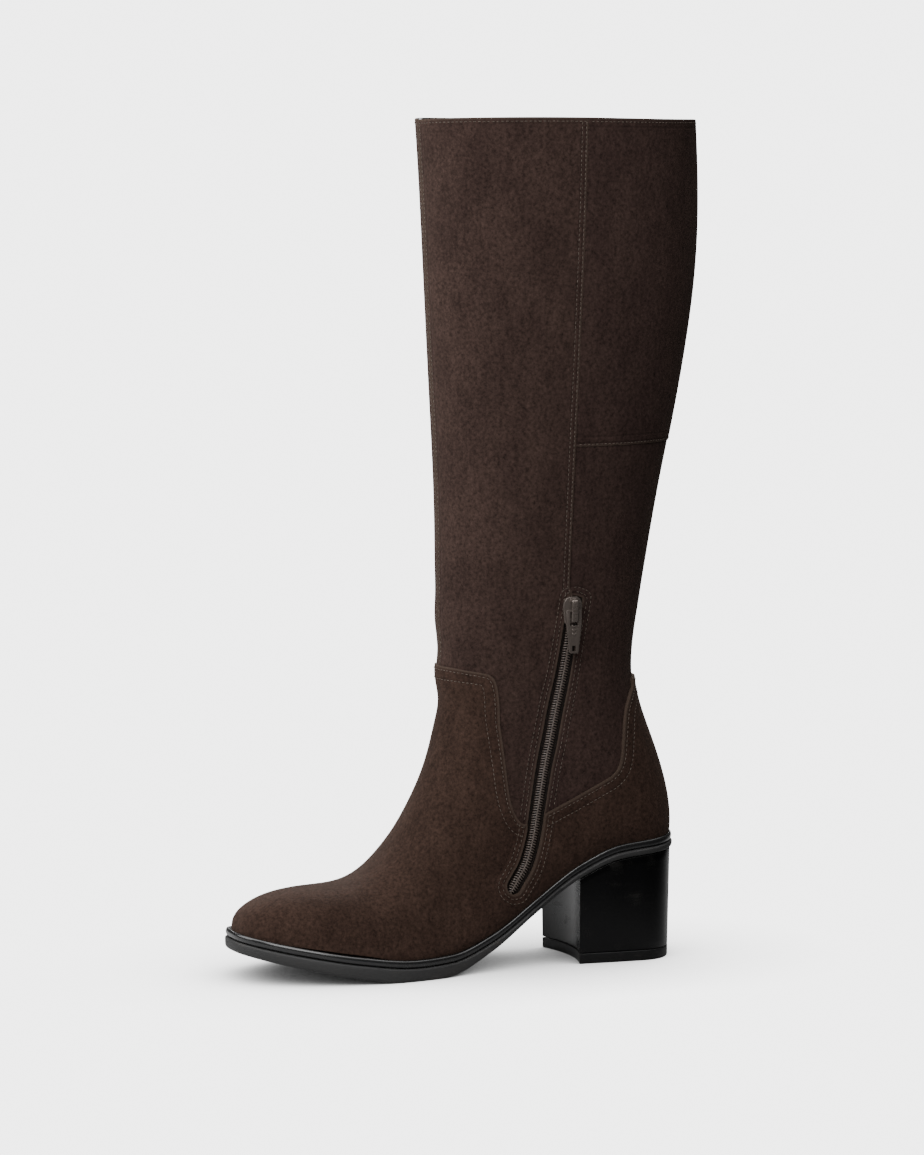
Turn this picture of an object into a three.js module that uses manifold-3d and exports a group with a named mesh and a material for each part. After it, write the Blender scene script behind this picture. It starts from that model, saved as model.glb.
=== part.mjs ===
import * as THREE from "three";
import { mergeVertices } from "three/addons/utils/BufferGeometryUtils.js";
import Module from "manifold-3d";

const wasm = await Module();
wasm.setup();

// Knee-high right boot with a block heel and an inside zip, in millimetres.
// In the tables s runs forward from the back of the heel and z runs up from the floor.

// Driving sizes of the last and the shaft
const LAST_LENGTH = 241;
const BALL_WIDTH = 87;
const INSTEP = 84;
const HEEL_RISE = 67.5;
const BALL_RISE = 11.2;
const TOE_SPRING = 13.6;
const SHAFT_HEIGHT = 380.5;
const COLLAR_DEPTH = 155;
const COLLAR_WIDTH = 88;
const TUCK = 8;

// Leather, gaps and panels
const GAP = 0.3;
const WALL = 1.5;
const FRONT_LEATHER = 1.7;
const BACK_UPPER_LEATHER = 1.4;
const BACK_LOWER_LEATHER = 0.9;
const FOOT_LEATHER = 2.6;
const LINING_DROP = 0.8;
const SEAM_GROOVE = 0.6;
const COUNTER_TOP = 151;
const VAMP_TOP = 160;
const BACK_SEAM = 277;

// Sole, heel and insole
const WELT_THICKNESS = 4;
const WELT_GROOVE = 0.8;
const WELT_INNER = 6.5;
const INSOLE_THICKNESS = 2.6;
const BREAST = 60;
const BREAST_HOLLOW = 5;
const HEEL_HALF = 29;
const HEEL_INSET = 0.8;
const HEEL_TAPER = 1.2;
const LIFT_THICKNESS = 5.6;

// Zip
const ZIP_OPENING = 8.6;
const ZIP_LEAN = 0.4;
const INNER_SIDE = 4;
const TAPE_WIDTH = 8;
const TAPE_THICKNESS = 0.5;
const COIL_WIDTH = 5.6;
const COIL_THICKNESS = 1.3;
const SLIDER_HEIGHT = 191.2;
const SLIDER_WIDTH = 10.4;
const SLIDER_LENGTH = 14.4;
const SLIDER_THICKNESS = 2;
const BRIDGE_LENGTH = 12.4;
const BRIDGE_HEIGHT = 3.8;
const BRIDGE_WIDTH = 3.2;
const BAR = 1.4;
const PULL_LENGTH = 23;
const PULL_WIDTH = 8.4;
const PULL_TIP = 5;
const PULL_THICKNESS = 1.2;
const PULL_EYE_WIDTH = 4.4;
const PULL_EYE_LENGTH = 7.2;
const PULL_AXIS = 3.2;
const PULL_CORNER = 0.8;
const PULL_SLOT_WIDTH = 2.2;
const PULL_SLOT_LENGTH = 2.8;
const PULL_SLOT_EDGE = 1.8;

// Planes past the boot on every side, to which cutting shapes run
const ABOVE = HEEL_RISE + 1.2 * SHAFT_HEIGHT;
const BELOW = -HEEL_RISE;
const AHEAD = 1.2 * LAST_LENGTH;
const BEHIND = -0.25 * LAST_LENGTH;
const ASIDE = BALL_WIDTH;

// How finely the curved pieces are faceted
const AROUND = 28;
const AROUND_INSIDE = 22;
const EDGE_STEPS = 40;
const ZIP_STEPS = 12;

// Rows of a table as objects, with one name for each column
function rowsOf(names, rows) {
  return rows.map((row) => Object.fromEntries(names.map((name, i) => [name, row[i]])));
}

// Feather line along the foot: at is a share of LAST_LENGTH, rise of the heel, spring of the toe
// spring; reach is how far the welt stands out and pack how thick welt and outsole are together.
const SOLE = rowsOf(["at", "rise", "spring", "reach", "pack"], [
  [0, 1, 0, 1.2, 8.2],
  [0.15, 0.935, 0, 1.2, 8.2],
  [0.25, 0.76, 0, 1.4, 8],
  [0.35, 0.47, 0, 1.8, 7.8],
  [0.46, 0.165, 0, 2.4, 9.2],
  [0.56, 0.02, 0, 3, 11.6],
  [0.66, 0, 0.03, 3, 12.8],
  [0.78, 0, 0.27, 3, 12],
  [0.9, 0, 0.64, 3, 11.2],
  [1, 0, 1, 3, 10.6],
]);

// Sections of the foot from toe to heel. back is where the section meets the sole and lean how far
// its top lies ahead, as shares of LAST_LENGTH; tall is a share of INSTEP; inner, outer and sway are
// shares of BALL_WIDTH; mid is where it is widest; crown and floor say how full its two halves are.
const FOOT = rowsOf(["back", "lean", "tall", "inner", "outer", "sway", "mid", "crown", "floor"], [
  [1, 0, 0, 0, 0, 0.06, 0.5, 0.2, 0.2],
  [0.997, -0.004, 0.11, 0.115, 0.12, 0.06, 0.5, 0.2, 0.2],
  [0.978, -0.016, 0.215, 0.22, 0.235, 0.056, 0.56, 0.2, 0.4],
  [0.925, -0.014, 0.33, 0.318, 0.338, 0.045, 0.6, 0.2, 0.6],
  [0.84, -0.01, 0.4, 0.405, 0.435, 0.026, 0.62, 0.2, 0.8],
  [0.752, -0.014, 0.465, 0.45, 0.495, 0.01, 0.62, 0.12, 0.85],
  [0.665, -0.004, 0.63, 0.455, 0.51, 0, 0.62, 0, 0.85],
  [0.56, 0.038, 0.895, 0.405, 0.47, 0, 0.62, -0.05, 0.85],
  [0.42, 0.132, 1.03, 0.36, 0.405, 0, 0.6, 0, 0.8],
  [0.27, 0.262, 0.965, 0.36, 0.375, 0, 0.58, 0.03, 0.7],
  [0.13, 0.392, 0.95, 0.372, 0.38, 0, 0.56, 0.05, 0.58],
  [0.042, 0.48, 1.03, 0.38, 0.383, 0, 0.56, 0.05, 0.52],
]);

// Sections of the leg from heel to collar. up is a share of SHAFT_HEIGHT above the heel; back and
// front are shares of COLLAR_DEPTH; inner and outer of COLLAR_WIDTH; the rest is as for the foot.
const LEG = rowsOf(["up", "back", "front", "tall", "inner", "outer", "mid", "crown", "floor"], [
  [0, 0.022, 0.822, 1.04, 0.383, 0.383, 0.56, 0.05, 0.4],
  [0.055, 0.028, 0.82, 0.88, 0.385, 0.385, 0.55, 0.05, 0.15],
  [0.13, 0.084, 0.818, 0.62, 0.39, 0.39, 0.53, 0.05, 0.05],
  [0.215, 0.144, 0.82, 0.3, 0.4, 0.4, 0.5, 0.05, 0],
  [0.33, 0.12, 0.823, 0.06, 0.415, 0.415, 0.5, 0.05, 0],
  [0.5, 0.044, 0.829, 0, 0.44, 0.44, 0.5, 0.05, 0],
  [0.67, -0.04, 0.85, 0, 0.475, 0.475, 0.5, 0.05, 0],
  [0.84, -0.086, 0.87, 0, 0.5, 0.5, 0.5, 0.05, 0],
  [1, -0.078, 0.894, 0.027, 0.5, 0.5, 0.5, 0.05, 0],
]);

// Stations of the grid between the rows above, finer where the ankle turns
const STATIONS = [
  0, 0.5, 1, 1.5, 2, 2.5, 3, 4, 5, 5.5, 6, 6.5, 7, 7.5, 8, 9, 10, 11, 11.5,
  12, 13, 14, 15, 16, 17, 18, 19, 20,
];

// Steps along the feather line as shares of its length, fine at both tips and where it bends
const SOLE_STEPS = [
  0, 0.004, 0.018, 0.042, 0.08, 0.12, 0.15, 0.18, 0.21, 0.25, 0.29, 0.33, 0.365, 0.4, 0.43, 0.46,
  0.49, 0.52, 0.54, 0.56, 0.6, 0.66, 0.72, 0.78, 0.84, 0.885, 0.925, 0.957, 0.98, 0.995, 1,
];

// Upper edge of the foot piece in side view, back to front: s share of COLLAR_DEPTH, z height
const FOOT_EDGE = [
  { s: -0.2, z: COUNTER_TOP },
  { s: 0.142, z: COUNTER_TOP },
  { s: 0.178, z: 146 },
  { s: 0.204, z: 141 },
  { s: 0.23, z: 133 },
  { s: 0.243, z: 121.5 },
  { s: 0.25, z: 112 },
  { s: 0.262, z: 105.5 },
  { s: 0.29, z: 101 },
  { s: 0.335, z: 97.5 },
  { s: 0.39, z: 93 },
  { s: 0.45, z: 88.4 },
  { s: 0.523, z: 83 },
  { s: 0.57, z: 79 },
  { s: 0.604, z: 78 },
  { s: 0.631, z: 82.5 },
  { s: 0.65, z: 92.5 },
  { s: 0.659, z: 109 },
  { s: 0.667, z: 126 },
  { s: 0.672, z: 141 },
  { s: 0.68, z: 151.5 },
  { s: 0.696, z: 156.5 },
  { s: 0.72, z: 157.8 },
  { s: 0.765, z: 158.8 },
  { s: 0.85, z: VAMP_TOP },
  { s: 1.1, z: VAMP_TOP },
];

// Side seam of the shaft: s share of COLLAR_DEPTH, z height
const SIDE_SEAM = [
  { s: 0.396, z: 470 },
  { s: 0.402, z: 448 },
  { s: 0.417, z: 363 },
  { s: 0.439, z: 255 },
  { s: 0.45, z: 203 },
];

// Lower end of the same seam on the outer side, where there is no zip
const OUTER_SEAM_FOOT = [
  { s: 0.476, z: 160 },
  { s: 0.514, z: 120 },
  { s: 0.56, z: 60 },
];

// Centre line of the zip on the inner side, top to bottom
const ZIP_LINE = [
  { s: 0.427, z: 197.5 },
  { s: 0.45, z: 174 },
  { s: 0.47, z: 156 },
  { s: 0.491, z: 138 },
  { s: 0.511, z: 120 },
  { s: 0.534, z: 102.5 },
  { s: 0.553, z: 85 },
  { s: 0.569, z: 69.7 },
  { s: 0.594, z: 56.7 },
  { s: 0.625, z: 48.4 },
  { s: 0.651, z: 42 },
];

// One column of a table along another, smooth and free of overshoot
function along(table, column, at) {
  const n = table.length;
  const slope = (i) => (table[i + 1][column] - table[i][column]) / (table[i + 1].at - table[i].at);
  const tangent = (i) => {
    if (i === 0) return slope(0);
    if (i === n - 1) return slope(n - 2);
    const a = slope(i - 1);
    const b = slope(i);
    return a * b <= 0 ? 0 : (2 * a * b) / (a + b);
  };
  if (at <= table[0].at) return table[0][column] + (at - table[0].at) * tangent(0);
  if (at >= table[n - 1].at) return table[n - 1][column] + (at - table[n - 1].at) * tangent(n - 1);
  let i = 0;
  while (at > table[i + 1].at) i += 1;
  const h = table[i + 1].at - table[i].at;
  const t = (at - table[i].at) / h;
  const rise = t * t * (3 - 2 * t);
  return (
    table[i][column] * (1 - rise) +
    table[i + 1][column] * rise +
    h * t * (1 - t) * ((1 - t) * tangent(i) - t * tangent(i + 1))
  );
}

// Height of the feather line, where the upper meets the welt
function feather(s) {
  const at = s / LAST_LENGTH;
  const heel = (HEEL_RISE - BALL_RISE) * along(SOLE, "rise", at);
  return BALL_RISE + heel + TOE_SPRING * along(SOLE, "spring", at);
}

// How far the welt stands out from the form: past the leather by the table's reach
function weltReach(s) {
  const leather = GAP + FOOT_LEATHER;
  return leather + along(SOLE, "reach", THREE.MathUtils.clamp(s / LAST_LENGTH, 0, 1));
}

// Underside of the outsole, flat on the floor under the ball
function outsoleBottom(s) {
  const at = s / LAST_LENGTH;
  return Math.max(0, feather(s) - along(SOLE, "pack", THREE.MathUtils.clamp(at, 0, 1)));
}

// All sections in millimetres: top point, bottom point, half widths, sway, mid, crown and floor
function sectionRows() {
  const foot = FOOT.map((row) => {
    const tuck = TUCK * Math.min(1, row.tall / FOOT[3].tall);
    const s = row.back * LAST_LENGTH;
    const z = feather(s) - tuck;
    const widths = [row.inner, row.outer, row.sway].map((share) => share * BALL_WIDTH);
    const ends = [s + row.lean * LAST_LENGTH, z + row.tall * INSTEP, s, z];
    return [...ends, ...widths, row.mid, row.crown, row.floor];
  });
  const leg = LEG.map((row) => {
    const z = HEEL_RISE + row.up * SHAFT_HEIGHT;
    const widths = [row.inner * COLLAR_WIDTH, row.outer * COLLAR_WIDTH, 0];
    const ends = [row.front * COLLAR_DEPTH, z + row.tall * INSTEP, row.back * COLLAR_DEPTH, z];
    return [...ends, ...widths, row.mid, row.crown, row.floor];
  });
  return [...foot, ...leg];
}

// Second derivatives of the natural cubic through evenly spaced rows, column by column
function bendsOf(rows) {
  const n = rows.length;
  const bends = rows.map((row) => row.map(() => 0));
  const share = new Array(n).fill(0);
  for (let i = 1; i < n - 1; i += 1) {
    const below = 4 - share[i - 1];
    share[i] = 1 / below;
    bends[i] = rows[i].map((value, c) => {
      const turn = 6 * (rows[i - 1][c] - 2 * value + rows[i + 1][c]);
      return (turn - bends[i - 1][c]) / below;
    });
  }
  for (let i = n - 2; i > 0; i -= 1) {
    bends[i] = bends[i].map((value, c) => value - share[i] * bends[i + 1][c]);
  }
  return bends;
}

const ROWS = sectionRows();
const BENDS = bendsOf(ROWS);
const LAST_ROW = ROWS.length - 1;
const HEEL_ROW = FOOT.length;

// The section at any station between the rows
function sectionAt(u) {
  const i = Math.min(Math.floor(u), LAST_ROW - 1);
  const f = u - i;
  const g = 1 - f;
  const v = ROWS[i].map((value, c) => {
    const bend = (g * g * g - g) * BENDS[i][c] + (f * f * f - f) * BENDS[i + 1][c];
    return g * value + f * ROWS[i + 1][c] + bend / 6;
  });
  const [fs, fz, bs, bz, inner, outer, sway, mid, crown, floor] = v;
  return { fs, fz, bs, bz, inner, outer, sway, mid, crown, floor };
}

// Point of the form: around is 0 at the front, half a turn at the back, inner side first
function formPoint(u, around) {
  const row = sectionAt(u);
  const outside = around > Math.PI;
  const turn = outside ? 2 * Math.PI - around : around;
  const c = Math.cos(turn);
  const down = c >= 0 ? row.mid * (1 - c) : row.mid - (1 - row.mid) * c;
  const full = 1 + (c >= 0 ? row.crown : row.floor) * c * c;
  const width = outside ? -row.outer : row.inner;
  const s = row.fs + (row.bs - row.fs) * down;
  const z = row.fz + (row.bz - row.fz) * down;
  return new THREE.Vector3(row.sway + width * Math.sin(turn) * full, -s, z);
}

// Direction straight out of the form
function formNormal(u, around) {
  if (u < 0.05) return new THREE.Vector3(0, -1, 0);
  const lower = Math.max(0.03, u - 0.03);
  const upper = Math.min(LAST_ROW, u + 0.03);
  const turn = THREE.MathUtils.euclideanModulo(around, 2 * Math.PI);
  const step = 0.03;
  const next = THREE.MathUtils.euclideanModulo(turn + step, 2 * Math.PI);
  const last = THREE.MathUtils.euclideanModulo(turn - step, 2 * Math.PI);
  const length = formPoint(upper, turn).sub(formPoint(lower, turn));
  const across = formPoint(u, next).sub(formPoint(u, last));
  return across.cross(length).normalize();
}

// The form's point moved outwards by grow; the collar only grows sideways
function grownPoint(u, around, grow) {
  const normal = formNormal(u, around);
  if (u === LAST_ROW) normal.setZ(0).normalize();
  return formPoint(u, around).addScaledVector(normal, grow);
}

// A joined solid from a geometry, turned inside out if its faces point inwards
function toSolid(geometry) {
  const bare = geometry.clone();
  bare.deleteAttribute("normal");
  bare.deleteAttribute("uv");
  const merged = mergeVertices(bare, 1e-3);
  const triangles = [];
  const index = merged.index.array;
  for (let i = 0; i < index.length; i += 3) {
    const [a, b, c] = [index[i], index[i + 1], index[i + 2]];
    if (a !== b && b !== c && a !== c) triangles.push(a, b, c);
  }
  const vertProperties = merged.attributes.position.array;
  const build = (list) => {
    const mesh = { numProp: 3, vertProperties, triVerts: new Uint32Array(list) };
    return new wasm.Manifold(new wasm.Mesh(mesh));
  };
  const solid = build(triangles);
  return solid.volume() < 0 ? build(triangles.reverse()) : solid;
}

// A named mesh from a joined solid
function toMesh(name, solid, material) {
  const mesh = solid.getMesh();
  const positions = new Float32Array(mesh.numVert * 3);
  for (let i = 0; i < mesh.numVert; i += 1) {
    for (let k = 0; k < 3; k += 1) positions[3 * i + k] = mesh.vertProperties[i * mesh.numProp + k];
  }
  const geometry = new THREE.BufferGeometry();
  geometry.setAttribute("position", new THREE.BufferAttribute(positions, 3));
  geometry.setIndex(new THREE.BufferAttribute(new Uint32Array(mesh.triVerts), 1));
  geometry.computeVertexNormals();
  const made = new THREE.Mesh(geometry, material);
  made.name = name;
  return made;
}

// Geometry from rings of equal length, closed across each end by capping
function ringGeometry(rings, capping) {
  const count = rings[0].length;
  const positions = rings.flat().flatMap((p) => [p.x, p.y, p.z]);
  const index = [];
  for (let r = 0; r < rings.length - 1; r += 1) {
    for (let j = 0; j < count; j += 1) {
      const a = r * count + j;
      const b = r * count + ((j + 1) % count);
      index.push(a, b, b + count, a, b + count, a + count);
    }
  }
  const last = (rings.length - 1) * count;
  for (const [a, b, c] of capping(count)) {
    index.push(a, c, b, last + a, last + b, last + c);
  }
  const geometry = new THREE.BufferGeometry();
  geometry.setAttribute("position", new THREE.Float32BufferAttribute(positions, 3));
  geometry.setIndex(index);
  return geometry;
}

// Cap of strips that join the two sides of a ring at the same step
function pairedCap(count) {
  const faces = [];
  for (let i = 0; i < count / 2; i += 1) {
    const j = (count - i) % count;
    faces.push([i, i + 1, count - i - 1]);
    if (j !== i) faces.push([i, count - i - 1, j]);
  }
  return faces;
}

// Solid of the whole boot's form, grown outwards, and run on above the collar by lift
function bootForm(grow, lift = 0, around = AROUND) {
  const rings = STATIONS.map((u) => {
    const ring = [];
    for (let j = 0; j < around; j += 1) ring.push(grownPoint(u, (2 * Math.PI * j) / around, grow));
    return ring;
  });
  const collar = rings[rings.length - 1];
  if (lift > 0) rings.push(collar.map((p) => new THREE.Vector3(p.x, p.y, p.z + lift)));
  return toSolid(ringGeometry(rings, pairedCap));
}

// Prism across the boot from x0 to x1 over an outline of s and z
function sidePrism(outline, x0, x1) {
  const shape = new THREE.Shape(outline.map((p) => new THREE.Vector2(p.s, p.z)));
  const geometry = new THREE.ExtrudeGeometry(shape, { depth: x1 - x0, bevelEnabled: false });
  const across = new THREE.Matrix4().makeBasis(
    new THREE.Vector3(0, -1, 0),
    new THREE.Vector3(0, 0, 1),
    new THREE.Vector3(1, 0, 0),
  );
  return toSolid(geometry.applyMatrix4(across).translate(x0, 0, 0));
}

// Smooth side-view line through the rows of a table, in millimetres
function sideLine(rows, steps) {
  const points = rows.map((row) => new THREE.Vector2(row.s * COLLAR_DEPTH, row.z));
  return new THREE.SplineCurve(points).getPoints(steps).map((p) => ({ s: p.x, z: p.y }));
}

// The same line moved sideways by a distance
function shifted(line, distance) {
  return line.map((point, i) => {
    const before = line[Math.max(0, i - 1)];
    const after = line[Math.min(line.length - 1, i + 1)];
    const length = Math.hypot(after.s - before.s, after.z - before.z);
    const ds = (-(after.z - before.z) / length) * distance;
    const dz = ((after.s - before.s) / length) * distance;
    return { s: point.s + ds, z: point.z + dz };
  });
}

const footEdge = sideLine(FOOT_EDGE, EDGE_STEPS);
const zipLine = sideLine(ZIP_LINE, ZIP_STEPS);

// A height over the sole's own steps, run on past both tips
function soleLine(height) {
  const line = SOLE_STEPS.map((share) => share * LAST_LENGTH);
  return [BEHIND, ...line, AHEAD].map((s) => ({ s, z: height(s) }));
}

// Everything below the feather line
function belowFeather() {
  const corners = [{ s: AHEAD, z: BELOW }, { s: BEHIND, z: BELOW }];
  return sidePrism([...soleLine(feather), ...corners], -ASIDE, ASIDE);
}

// Everything above a side-view line that runs from back to front
function aboveLine(line) {
  return sidePrism([...line, { s: AHEAD, z: ABOVE }, { s: BEHIND, z: ABOVE }], -ASIDE, ASIDE);
}

// Everything above the foot piece's edge, a gap away
function aboveFoot() {
  return aboveLine(shifted(footEdge, GAP));
}

// Everything below the foot piece's edge
function belowFootEdge() {
  const corners = [{ s: AHEAD, z: VAMP_TOP }, { s: AHEAD, z: BELOW }, { s: BEHIND, z: BELOW }];
  return sidePrism([...footEdge, ...corners], -ASIDE, ASIDE);
}

// Band along the zip's line on the inner side, a width wide, pointed at the top by rise and run on
// past the zip's lower end by run
function zipBand(width, rise, run) {
  const half = width / 2;
  const foot = zipLine[zipLine.length - 1];
  const before = zipLine[zipLine.length - 2];
  const share = run / Math.hypot(foot.s - before.s, foot.z - before.z);
  const past = { s: foot.s + share * (foot.s - before.s), z: foot.z + share * (foot.z - before.z) };
  const line = run > 0 ? [...zipLine, past] : zipLine;
  const front = shifted(line, half);
  const back = shifted(line, -half).reverse();
  const top = zipLine[0];
  const tip = { s: top.s - ZIP_LEAN, z: top.z + rise };
  return sidePrism([tip, ...front, ...back], INNER_SIDE, ASIDE);
}

// Opening in the suede round the zip
function zipSlot() {
  return zipBand(ZIP_OPENING, ZIP_OPENING * 0.4, 2 * GAP);
}

// Front or back part of one side of the shaft, split at the seam line
function besideSeam(line, front, x0, x1) {
  const edge = shifted(line, front ? GAP / 2 : -GAP / 2);
  const far = front ? AHEAD : BEHIND;
  return sidePrism([...edge, { s: far, z: edge[edge.length - 1].z }, { s: far, z: edge[0].z }], x0, x1);
}

const innerSeam = [...sideLine(SIDE_SEAM, 10), ...zipLine];
const outerSeam = sideLine([...SIDE_SEAM, ...OUTER_SEAM_FOOT], 16);

// Everything above the lining's edge, a little under the collar's
function aboveLining() {
  const row = sectionAt(LAST_ROW);
  const slope = (row.fz - row.bz) / (row.fs - row.bs);
  const at = (s) => ({ s, z: row.bz + slope * (s - row.bs) - LINING_DROP });
  return aboveLine([at(BEHIND), at(AHEAD)]);
}

// Hollow body of the boot: the inner leather with its wall, open at the collar and underneath
function upperSolid() {
  const wall = bootForm(0).subtract(bootForm(-WALL, 6, AROUND_INSIDE));
  return wall.subtract(belowFeather()).subtract(aboveLining());
}

// Shell of leather over the body, from the gap out to a thickness
function leatherShell(thickness) {
  return bootForm(GAP + thickness).subtract(bootForm(GAP, 6));
}

function footOverlaySolid() {
  const shell = leatherShell(FOOT_LEATHER).intersect(belowFootEdge());
  return shell.subtract(belowFeather()).subtract(zipSlot());
}

function frontPanelSolid(inner) {
  const half = SEAM_GROOVE / 2;
  const ends = inner ? [innerSeam, true, half, ASIDE] : [outerSeam, true, -ASIDE, -half];
  const panel = leatherShell(FRONT_LEATHER).intersect(besideSeam(...ends)).intersect(aboveFoot());
  return inner ? panel.subtract(zipSlot()) : panel;
}

// Back of the shaft above or below the cross seam, one piece round the back
function backPanelSolid(upper) {
  const innerHalf = besideSeam(innerSeam, false, -1, ASIDE);
  const region = innerHalf.add(besideSeam(outerSeam, false, -ASIDE, 1));
  const low = upper ? BACK_SEAM + GAP / 2 : BELOW;
  const high = upper ? ABOVE : BACK_SEAM - GAP / 2;
  const band = [
    { s: BEHIND, z: low },
    { s: AHEAD, z: low },
    { s: AHEAD, z: high },
    { s: BEHIND, z: high },
  ];
  const leather = upper ? BACK_UPPER_LEATHER : BACK_LOWER_LEATHER;
  const panel = leatherShell(leather).intersect(region).intersect(sidePrism(band, -ASIDE, ASIDE));
  return upper ? panel : panel.intersect(aboveFoot()).subtract(zipSlot());
}

// Where the form crosses the feather line on one side, from heel to toe
function featherCrossings(outside) {
  const found = [];
  for (let u = HEEL_ROW; u > 0.001; u -= 0.05) {
    let low = Math.PI * 0.25;
    let high = Math.PI;
    const above = (turn) => {
      const p = formPoint(u, outside ? 2 * Math.PI - turn : turn);
      return p.z - feather(-p.y);
    };
    if (above(high) > 0) continue;
    for (let k = 0; k < 24; k += 1) {
      const middle = (low + high) / 2;
      if (above(middle) > 0) low = middle;
      else high = middle;
    }
    const p = formPoint(u, outside ? 2 * Math.PI - low : low);
    found.push({ at: -p.y, x: p.x });
  }
  return found;
}

// Outline of the feather in plan: heel tip, inner side to the toe tip, back along the outer side
function featherOutline() {
  const inner = featherCrossings(false);
  const outer = featherCrossings(true);
  const sideX = (side, s) => {
    let i = 0;
    while (i < side.length - 2 && side[i + 1].at < s) i += 1;
    const t = (s - side[i].at) / (side[i + 1].at - side[i].at);
    return side[i].x + (side[i + 1].x - side[i].x) * THREE.MathUtils.clamp(t, 0, 1);
  };
  const heel = inner[0].at;
  const toe = LAST_LENGTH;
  const ring = [];
  const last = SOLE_STEPS.length - 1;
  SOLE_STEPS.forEach((share, i) => {
    const s = heel + (toe - heel) * share;
    const tip = i === 0 || i === last;
    ring.push({ s, x: tip ? (sideX(inner, s) + sideX(outer, s)) / 2 : sideX(inner, s) });
  });
  for (let i = last - 1; i > 0; i -= 1) ring.push({ s: ring[i].s, x: sideX(outer, ring[i].s) });
  return ring;
}

const OUTLINE = featherOutline();

// The outline moved out by a margin of s, as world points at the height given by a function of s
function outlineRing(margin, height) {
  const count = OUTLINE.length;
  return OUTLINE.map((point, i) => {
    const before = OUTLINE[(i + count - 1) % count];
    const after = OUTLINE[(i + 1) % count];
    const length = Math.hypot(after.s - before.s, after.x - before.x);
    const out = margin(point.s);
    const s = point.s - ((after.x - before.x) / length) * out;
    const x = point.x + ((after.s - before.s) / length) * out;
    return new THREE.Vector3(x, -s, height(s));
  });
}

// A stack of outline rings, capped at both ends: margin and height are functions of s
function soleSolid(rings) {
  const made = rings.map(([margin, height]) => outlineRing(margin, height));
  return toSolid(ringGeometry(made, pairedCap));
}

const weltTop = (s) => feather(s) - GAP;
const weltBottom = (s) => weltTop(s) - WELT_THICKNESS;
const outsoleTop = (s) => weltBottom(s) - GAP;

// Rounded welt round the whole foot, with the outsole's pad inside it
function weltSolid() {
  const out = (inset) => (s) => weltReach(s) - inset;
  const high = (share) => (s) => weltTop(s) - WELT_THICKNESS * share;
  const inside = () => -WELT_INNER;
  const rings = [
    [inside, high(0)],
    [out(1), high(0)],
    [out(0), high(0.32)],
    [out(0), high(0.68)],
    [out(1), high(1)],
    [inside, high(1)],
  ];
  const band = rings.map(([margin, height]) => outlineRing(margin, height));
  return toSolid(ringGeometry([...band, band[0]], () => []));
}

// Outsole with its groove under the welt, its flat tread and the pad that fills the welt's middle
function outsoleSolid() {
  const edge = (inset) => (s) => weltReach(s) + 0.4 - inset;
  const pad = () => -WELT_INNER - GAP;
  const low = (lift) => (s) => Math.max(outsoleBottom(s) + lift, 0);
  return soleSolid([
    [edge(1.4), low(0)],
    [edge(0.2), low(0.9)],
    [edge(0), low(2)],
    [edge(0), (s) => outsoleTop(s) - 1],
    [edge(WELT_GROOVE + 0.8), outsoleTop],
    [pad, outsoleTop],
    [pad, weltTop],
  ]);
}

// Insole that fills the body from wall to wall, just above the feather line
function insoleSolid() {
  const top = soleLine((s) => feather(s) + INSOLE_THICKNESS);
  const layer = sidePrism([...top, ...soleLine(feather).reverse()], -ASIDE, ASIDE);
  return bootForm(-WALL - GAP, 0, AROUND_INSIDE).intersect(layer);
}

// Everything above the outsole's underside, a gap below it
function aboveHeel() {
  const line = soleLine((s) => outsoleBottom(s) - GAP).filter((point) => point.s < 2 * BREAST);
  return aboveLine(line);
}

// Plan area behind the hollow breast line, between two heights
function behindBreast(low, high) {
  const breast = new THREE.Shape();
  breast.moveTo(-ASIDE, BEHIND);
  breast.lineTo(-ASIDE, BREAST);
  breast.lineTo(-HEEL_HALF, BREAST);
  breast.quadraticCurveTo(0, BREAST - 2 * BREAST_HOLLOW, HEEL_HALF, BREAST);
  breast.lineTo(ASIDE, BREAST);
  breast.lineTo(ASIDE, BEHIND);
  const settings = { depth: high - low, bevelEnabled: false, curveSegments: 10 };
  const geometry = new THREE.ExtrudeGeometry(breast, settings);
  const flip = new THREE.Matrix4().makeScale(1, -1, 1);
  return toSolid(geometry.applyMatrix4(flip).translate(0, 0, low));
}

// Block between two heights on the sole's outline, inset more at the floor
function heelStock(low, high) {
  const inset = (z) => HEEL_INSET + HEEL_TAPER * (1 - z / HEEL_RISE);
  const margin = (z) => (s) => weltReach(s) - inset(z);
  return soleSolid([
    [margin(low), () => low],
    [margin(high), () => high],
  ]);
}

function heelBlockSolid() {
  const low = LIFT_THICKNESS + GAP;
  return heelStock(low, HEEL_RISE).intersect(behindBreast(0, HEEL_RISE + 5)).subtract(aboveHeel());
}

function heelLiftSolid() {
  return heelStock(0, LIFT_THICKNESS).intersect(behindBreast(-1, LIFT_THICKNESS + 1));
}

// Station and turn of the form's inner side at a point of the side view
function insideAt(s, z) {
  const offLine = (u) => {
    const row = sectionAt(u);
    return (row.fs - s) * (row.bz - z) - (row.fz - z) * (row.bs - s);
  };
  let low = 4;
  let high = LAST_ROW;
  const sign = Math.sign(offLine(low));
  for (let k = 0; k < 40; k += 1) {
    const middle = (low + high) / 2;
    if (Math.sign(offLine(middle)) === sign) low = middle;
    else high = middle;
  }
  const row = sectionAt(low);
  const down = Math.hypot(row.fs - s, row.fz - z) / Math.hypot(row.fs - row.bs, row.fz - row.bz);
  const c = down <= row.mid ? 1 - down / row.mid : -(down - row.mid) / (1 - row.mid);
  return { u: low, around: Math.acos(THREE.MathUtils.clamp(c, -1, 1)) };
}

function insidePoint(s, z, grow) {
  const { u, around } = insideAt(s, z);
  return formPoint(u, around).addScaledVector(formNormal(u, around), grow);
}

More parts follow.
